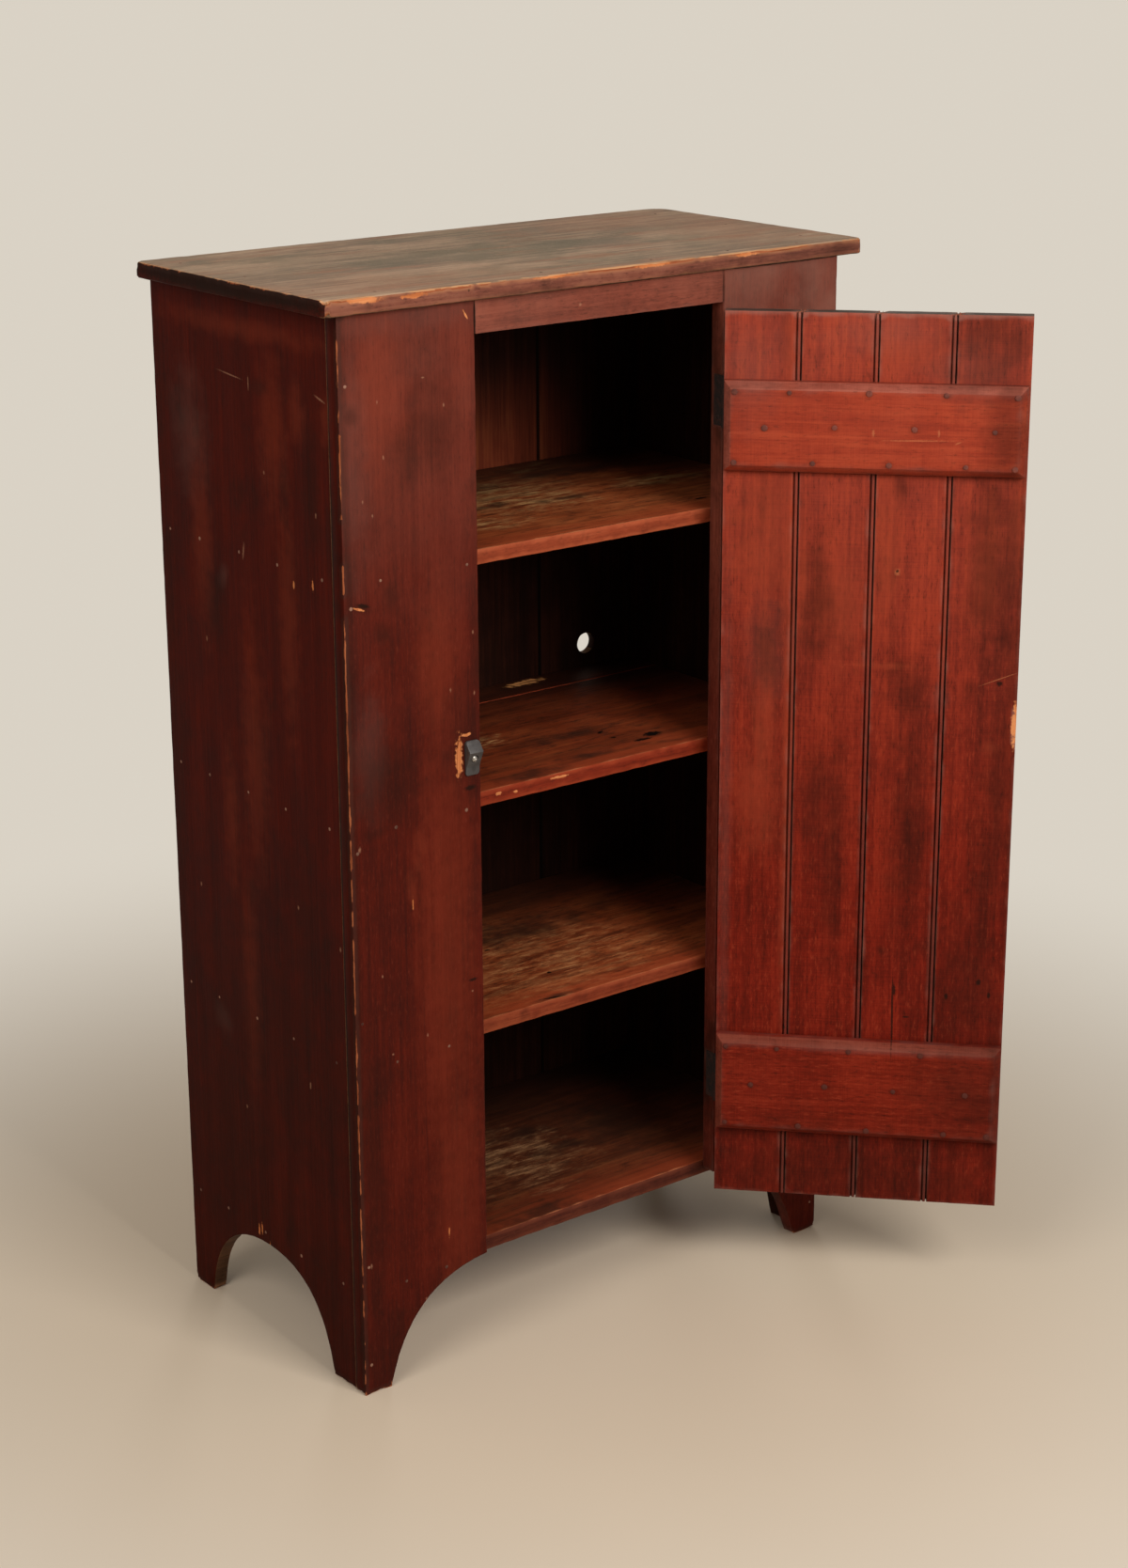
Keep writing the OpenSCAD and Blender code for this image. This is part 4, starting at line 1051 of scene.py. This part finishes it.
# The battens' bevels that look up and towards the hinge take a lighter copy of the paint: painted light, as
# they face the lamps
BATTEN_TREE = batten_tree()
for count, batten in enumerate(BATTENS):
    painted = BATTEN_PAINTS[batten]
    bevels = [(Vector(way), LIT_BEVEL_PAINTS[batten]) for way in ((0, 0.8, 0.6), (0.6, 0.8, 0))]
    worn_board(batten, "door", by_direction(painted) + bevels, 45.2 + 3.1 * count, 0.0007, 0.0008,
               least=24, shape=bevelled_batten(batten, BATTEN_TREE, painted))
worn_board("turn_button", "button", by_direction(BUTTON_IRON), 50.0, 0.0009, 0.0006, lambda p: 0.8,
           0.003)


# Nails and screws


def low_head(shape):
    """A round head that stands a little out of the wood."""
    ball = shape.node("GeometryNodeMeshIcoSphere", {"Radius": shape.size("Head_radius"), "Subdivisions": 3})
    squash = shape.math("DIVIDE", shape.size("Head_height"), shape.size("Head_radius"))
    return shape.transformed(ball, scale=shape.vector(1.0, 1.0, squash))


def square_shank(shape):
    """A straight shank, as its taper would be hidden in the wood."""
    sides = shape.vector(shape.size("Shank"), shape.size("Shank"), shape.size("Length"))
    shank = shape.node("GeometryNodeMeshCube", {"Size": sides})
    return shape.transformed(shank, shape.vector(z=shape.times(shape.size("Length"), -0.5)))


def nail_tree():
    """Cut nails with hammered heads."""
    shape = Shape("cut_nails", Head_radius=0.0034, Head_height=0.0006, Shank=0.0022, Length=0.03, Sink=0.0,
                  Knocks=0.0012, Variation=0.17, Tilt=0.06, Seed=11, Metal=NAIL_IRON)
    shape.placed(shape.joined(low_head(shape), square_shank(shape)))
    return shape


def screw_tree():
    """Slotted screws."""
    shape = Shape("slotted_screws", Head_radius=0.0034, Head_height=0.0008, Shank=0.0032, Length=0.015,
                  Slot=0.0008, Sink=0.0, Knocks=0.0, Variation=0.03, Tilt=0.0, Seed=5, Metal=IRON)
    wide = shape.times(shape.size("Head_radius"), 2.4)
    sides = shape.vector(wide, shape.size("Slot"), shape.size("Head_height"))
    bar = shape.node("GeometryNodeMeshCube", {"Size": sides})
    bar = shape.transformed(bar, shape.vector(z=shape.times(shape.size("Head_height"), 0.8)))
    sockets = {"Mesh 1": low_head(shape), "Mesh 2": bar}
    head = shape.node("GeometryNodeMeshBoolean", sockets, operation="DIFFERENCE")
    thin = shape.times(shape.size("Shank"), 0.5)
    sockets = {"Vertices": 16, "Radius": thin, "Depth": shape.size("Length")}
    shank = shape.node("GeometryNodeMeshCylinder", sockets)
    shank = shape.transformed(shank, shape.vector(z=shape.times(shape.size("Length"), -0.5)))
    shape.placed(shape.joined(head, shank))
    return shape


def fasteners(shape, node, body, slot, ways, **sizes):
    """Puts new fasteners where a node's are, each with its head at the end that faces one of the ways."""
    bm = cad_copy(node)
    heads = []
    for part in loose_parts(bm):
        middle = middle_of(part)
        lengths = [max(p.dot(way) for p in part) - min(p.dot(way) for p in part) for way in ways]
        way = ways[lengths.index(max(lengths))]
        if len(ways) > 1 and (middle.x > 0) != (way.x > 0):
            way = -way
        top = max(p.dot(way) for p in part)
        across = middle - way * middle.dot(way)
        heads.append((across + way * top, way))
    bm.free()
    mesh = bpy.data.meshes.new(node + "_places")
    mesh.from_pydata([head for head, _ in heads], [], [])
    facing = mesh.attributes.new("facing", "FLOAT_VECTOR", "POINT")
    for index, (_, way) in enumerate(heads):
        facing.data[index].vector = way
    places = baked(shape, node + "_made", mesh, **sizes)
    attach(places, body)
    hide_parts(node)


NAILS = nail_tree()
SCREWS = screw_tree()
BRAD = {"Head_radius": 0.0021, "Head_height": 0.00035, "Length": 0.034, "Sink": 0.0001, "Knocks": 0.0003,
        "Tilt": 0.0, "Metal": BRAD_IRON}
SUNK_BRAD = {**BRAD, "Sink": 0.0005}
fasteners(NAILS, "batten_nails", "door", "nail_iron", [DOOR_INSIDE], Seed=3)
fasteners(NAILS, "top_nails", "case", "nail_iron", [WAYS["over"]], Seed=4, **SUNK_BRAD)
fasteners(NAILS, "side_nails", "case", "nail_iron", [WAYS["left"], WAYS["right"]], Seed=5, **BRAD)
fasteners(NAILS, "stile_nails", "case", "nail_iron", [WAYS["front"]], Seed=6, **BRAD)
fasteners(NAILS, "back_nails", "case", "nail_iron", [WAYS["back"]], Seed=7, **SUNK_BRAD)
fasteners(SCREWS, "button_screw", "case", "bright_screw", [WAYS["front"]], Head_radius=0.0042,
          Head_height=0.0022, Shank=0.0048, Length=0.022, Slot=0.001, Seed=8, Metal=SCREW_STEEL)
fasteners(SCREWS, "stile_leaf_screws", "case", "bright_screw", [WAYS["left"]], Seed=9)
fasteners(SCREWS, "door_leaf_screws", "door", "bright_screw", [DOOR_AXES[0]], Seed=10)


# The hinges' leaves and pins keep the shape of the CAD's
for place in ("upper", "lower"):
    for part in ("stile_leaf", "door_leaf", "hinge_pin"):
        piece = frame["nodes"][f"{place}_{part}"]
        piece.data.materials.clear()
        piece.data.materials.append(IRON)


# Floor, lights and camera

FLOOR_SIZE = 14.0
FLOOR_COLOUR = (0.66, 0.53, 0.39)
WALL_COLOUR = (0.7, 0.645, 0.56)


def seen_directly(nodes):
    """1 for rays from the camera and for reflections, 0 for the rays that light the object."""
    rays = nodes.tree.nodes.new("ShaderNodeLightPath").outputs
    reflected = nodes.math("MAXIMUM", rays["Is Glossy Ray"], rays["Is Transmission Ray"])
    return nodes.math("MAXIMUM", rays["Is Camera Ray"], reflected)


def floor_finish():
    """Pale floor that goes over to the colour of the backdrop, from 0.4 to 1.9 m away."""
    f = Finish("pale_floor")
    mottle = f.noise((0.5,) * 3, 4, on=f.place)
    colour = f.mix(mottle, *(tuple(shade * part for part in FLOOR_COLOUR) for shade in (0.97, 1.03)))
    f.finish(colour, f.between(mottle, 0.6, 0.8), specular=0.1)
    away = f.vector_math("LENGTH", {0: f.place}, "Value")
    glow = f.node("ShaderNodeEmission", {"Color": WALL_COLOUR, "Strength": 1.0})
    share = f.times(f.step(away, 0.4, 1.9), seen_directly(f))
    mixed = f.node("ShaderNodeMixShader", {0: share, 1: f.shader.outputs[0], 2: glow})
    f.plug(f.tree.nodes["Material Output"].inputs["Surface"], mixed)
    return f.material


bpy.ops.mesh.primitive_plane_add(size=FLOOR_SIZE, location=(0, 0, 0))
floor = bpy.context.object
floor.name = "floor"
floor.data.materials.append(floor_finish())


def studio_world():
    """A plain backdrop, and an even light of its own."""
    world = bpy.data.worlds.new("studio")
    bpy.context.scene.world = world
    world.use_nodes = True
    sky = Nodes(world.node_tree)
    light = sky.node("ShaderNodeBackground", {"Color": (0.72, 0.69, 0.64), "Strength": 0.4})
    backdrop = sky.node("ShaderNodeBackground", {"Color": WALL_COLOUR, "Strength": 1.0})
    mixed = sky.node("ShaderNodeMixShader", {0: seen_directly(sky), 1: light, 2: backdrop})
    sky.plug(sky.tree.nodes["World Output"].inputs["Surface"], mixed)


def soft_light(name, at, towards, size, power):
    """A square lamp that points at a place."""
    lamp = bpy.data.lights.new(name, "AREA")
    lamp.shape = "SQUARE"
    lamp.size = size
    lamp.energy = power
    holder = bpy.data.objects.new(name, lamp)
    holder.location = at
    holder.rotation_euler = (Vector(towards) - Vector(at)).to_track_quat("-Z", "Y").to_euler()
    bpy.context.scene.collection.objects.link(holder)


studio_world()
soft_light("front_light", (0.0, -2.5, 2.15), (0.0, 0.0, 0.8), 1.1, 56)
soft_light("left_light", (-2.8, -1.2, 2.7), (0.0, 0.0, 0.7), 1.8, 48)
soft_light("back_light", (1.9, 2.7, 0.42), (0.0, 0.0, 0.7), 0.7, 30)

EYE = Vector((-2.1979, -2.9527, 1.8747))
HEADING = math.radians(37.856)
DIP = math.radians(17.974)
ROLL = math.radians(-0.26)
FOCAL_LENGTH_PX = 3130.3
IMAGE_HEIGHT_PX = 1668
camera = bpy.data.objects.new("camera", bpy.data.cameras.new("camera"))
bpy.context.scene.collection.objects.link(camera)
ahead = Vector((math.sin(HEADING) * math.cos(DIP), math.cos(HEADING) * math.cos(DIP), -math.sin(DIP)))
camera.location = EYE
camera.rotation_mode = "QUATERNION"
camera.rotation_quaternion = ahead.to_track_quat("-Z", "Y") @ Quaternion((0, 0, 1), ROLL)
camera.data.lens = camera.data.sensor_width * FOCAL_LENGTH_PX / IMAGE_HEIGHT_PX
bpy.context.scene.camera = camera
bpy.context.scene.view_settings.view_transform = "Standard"
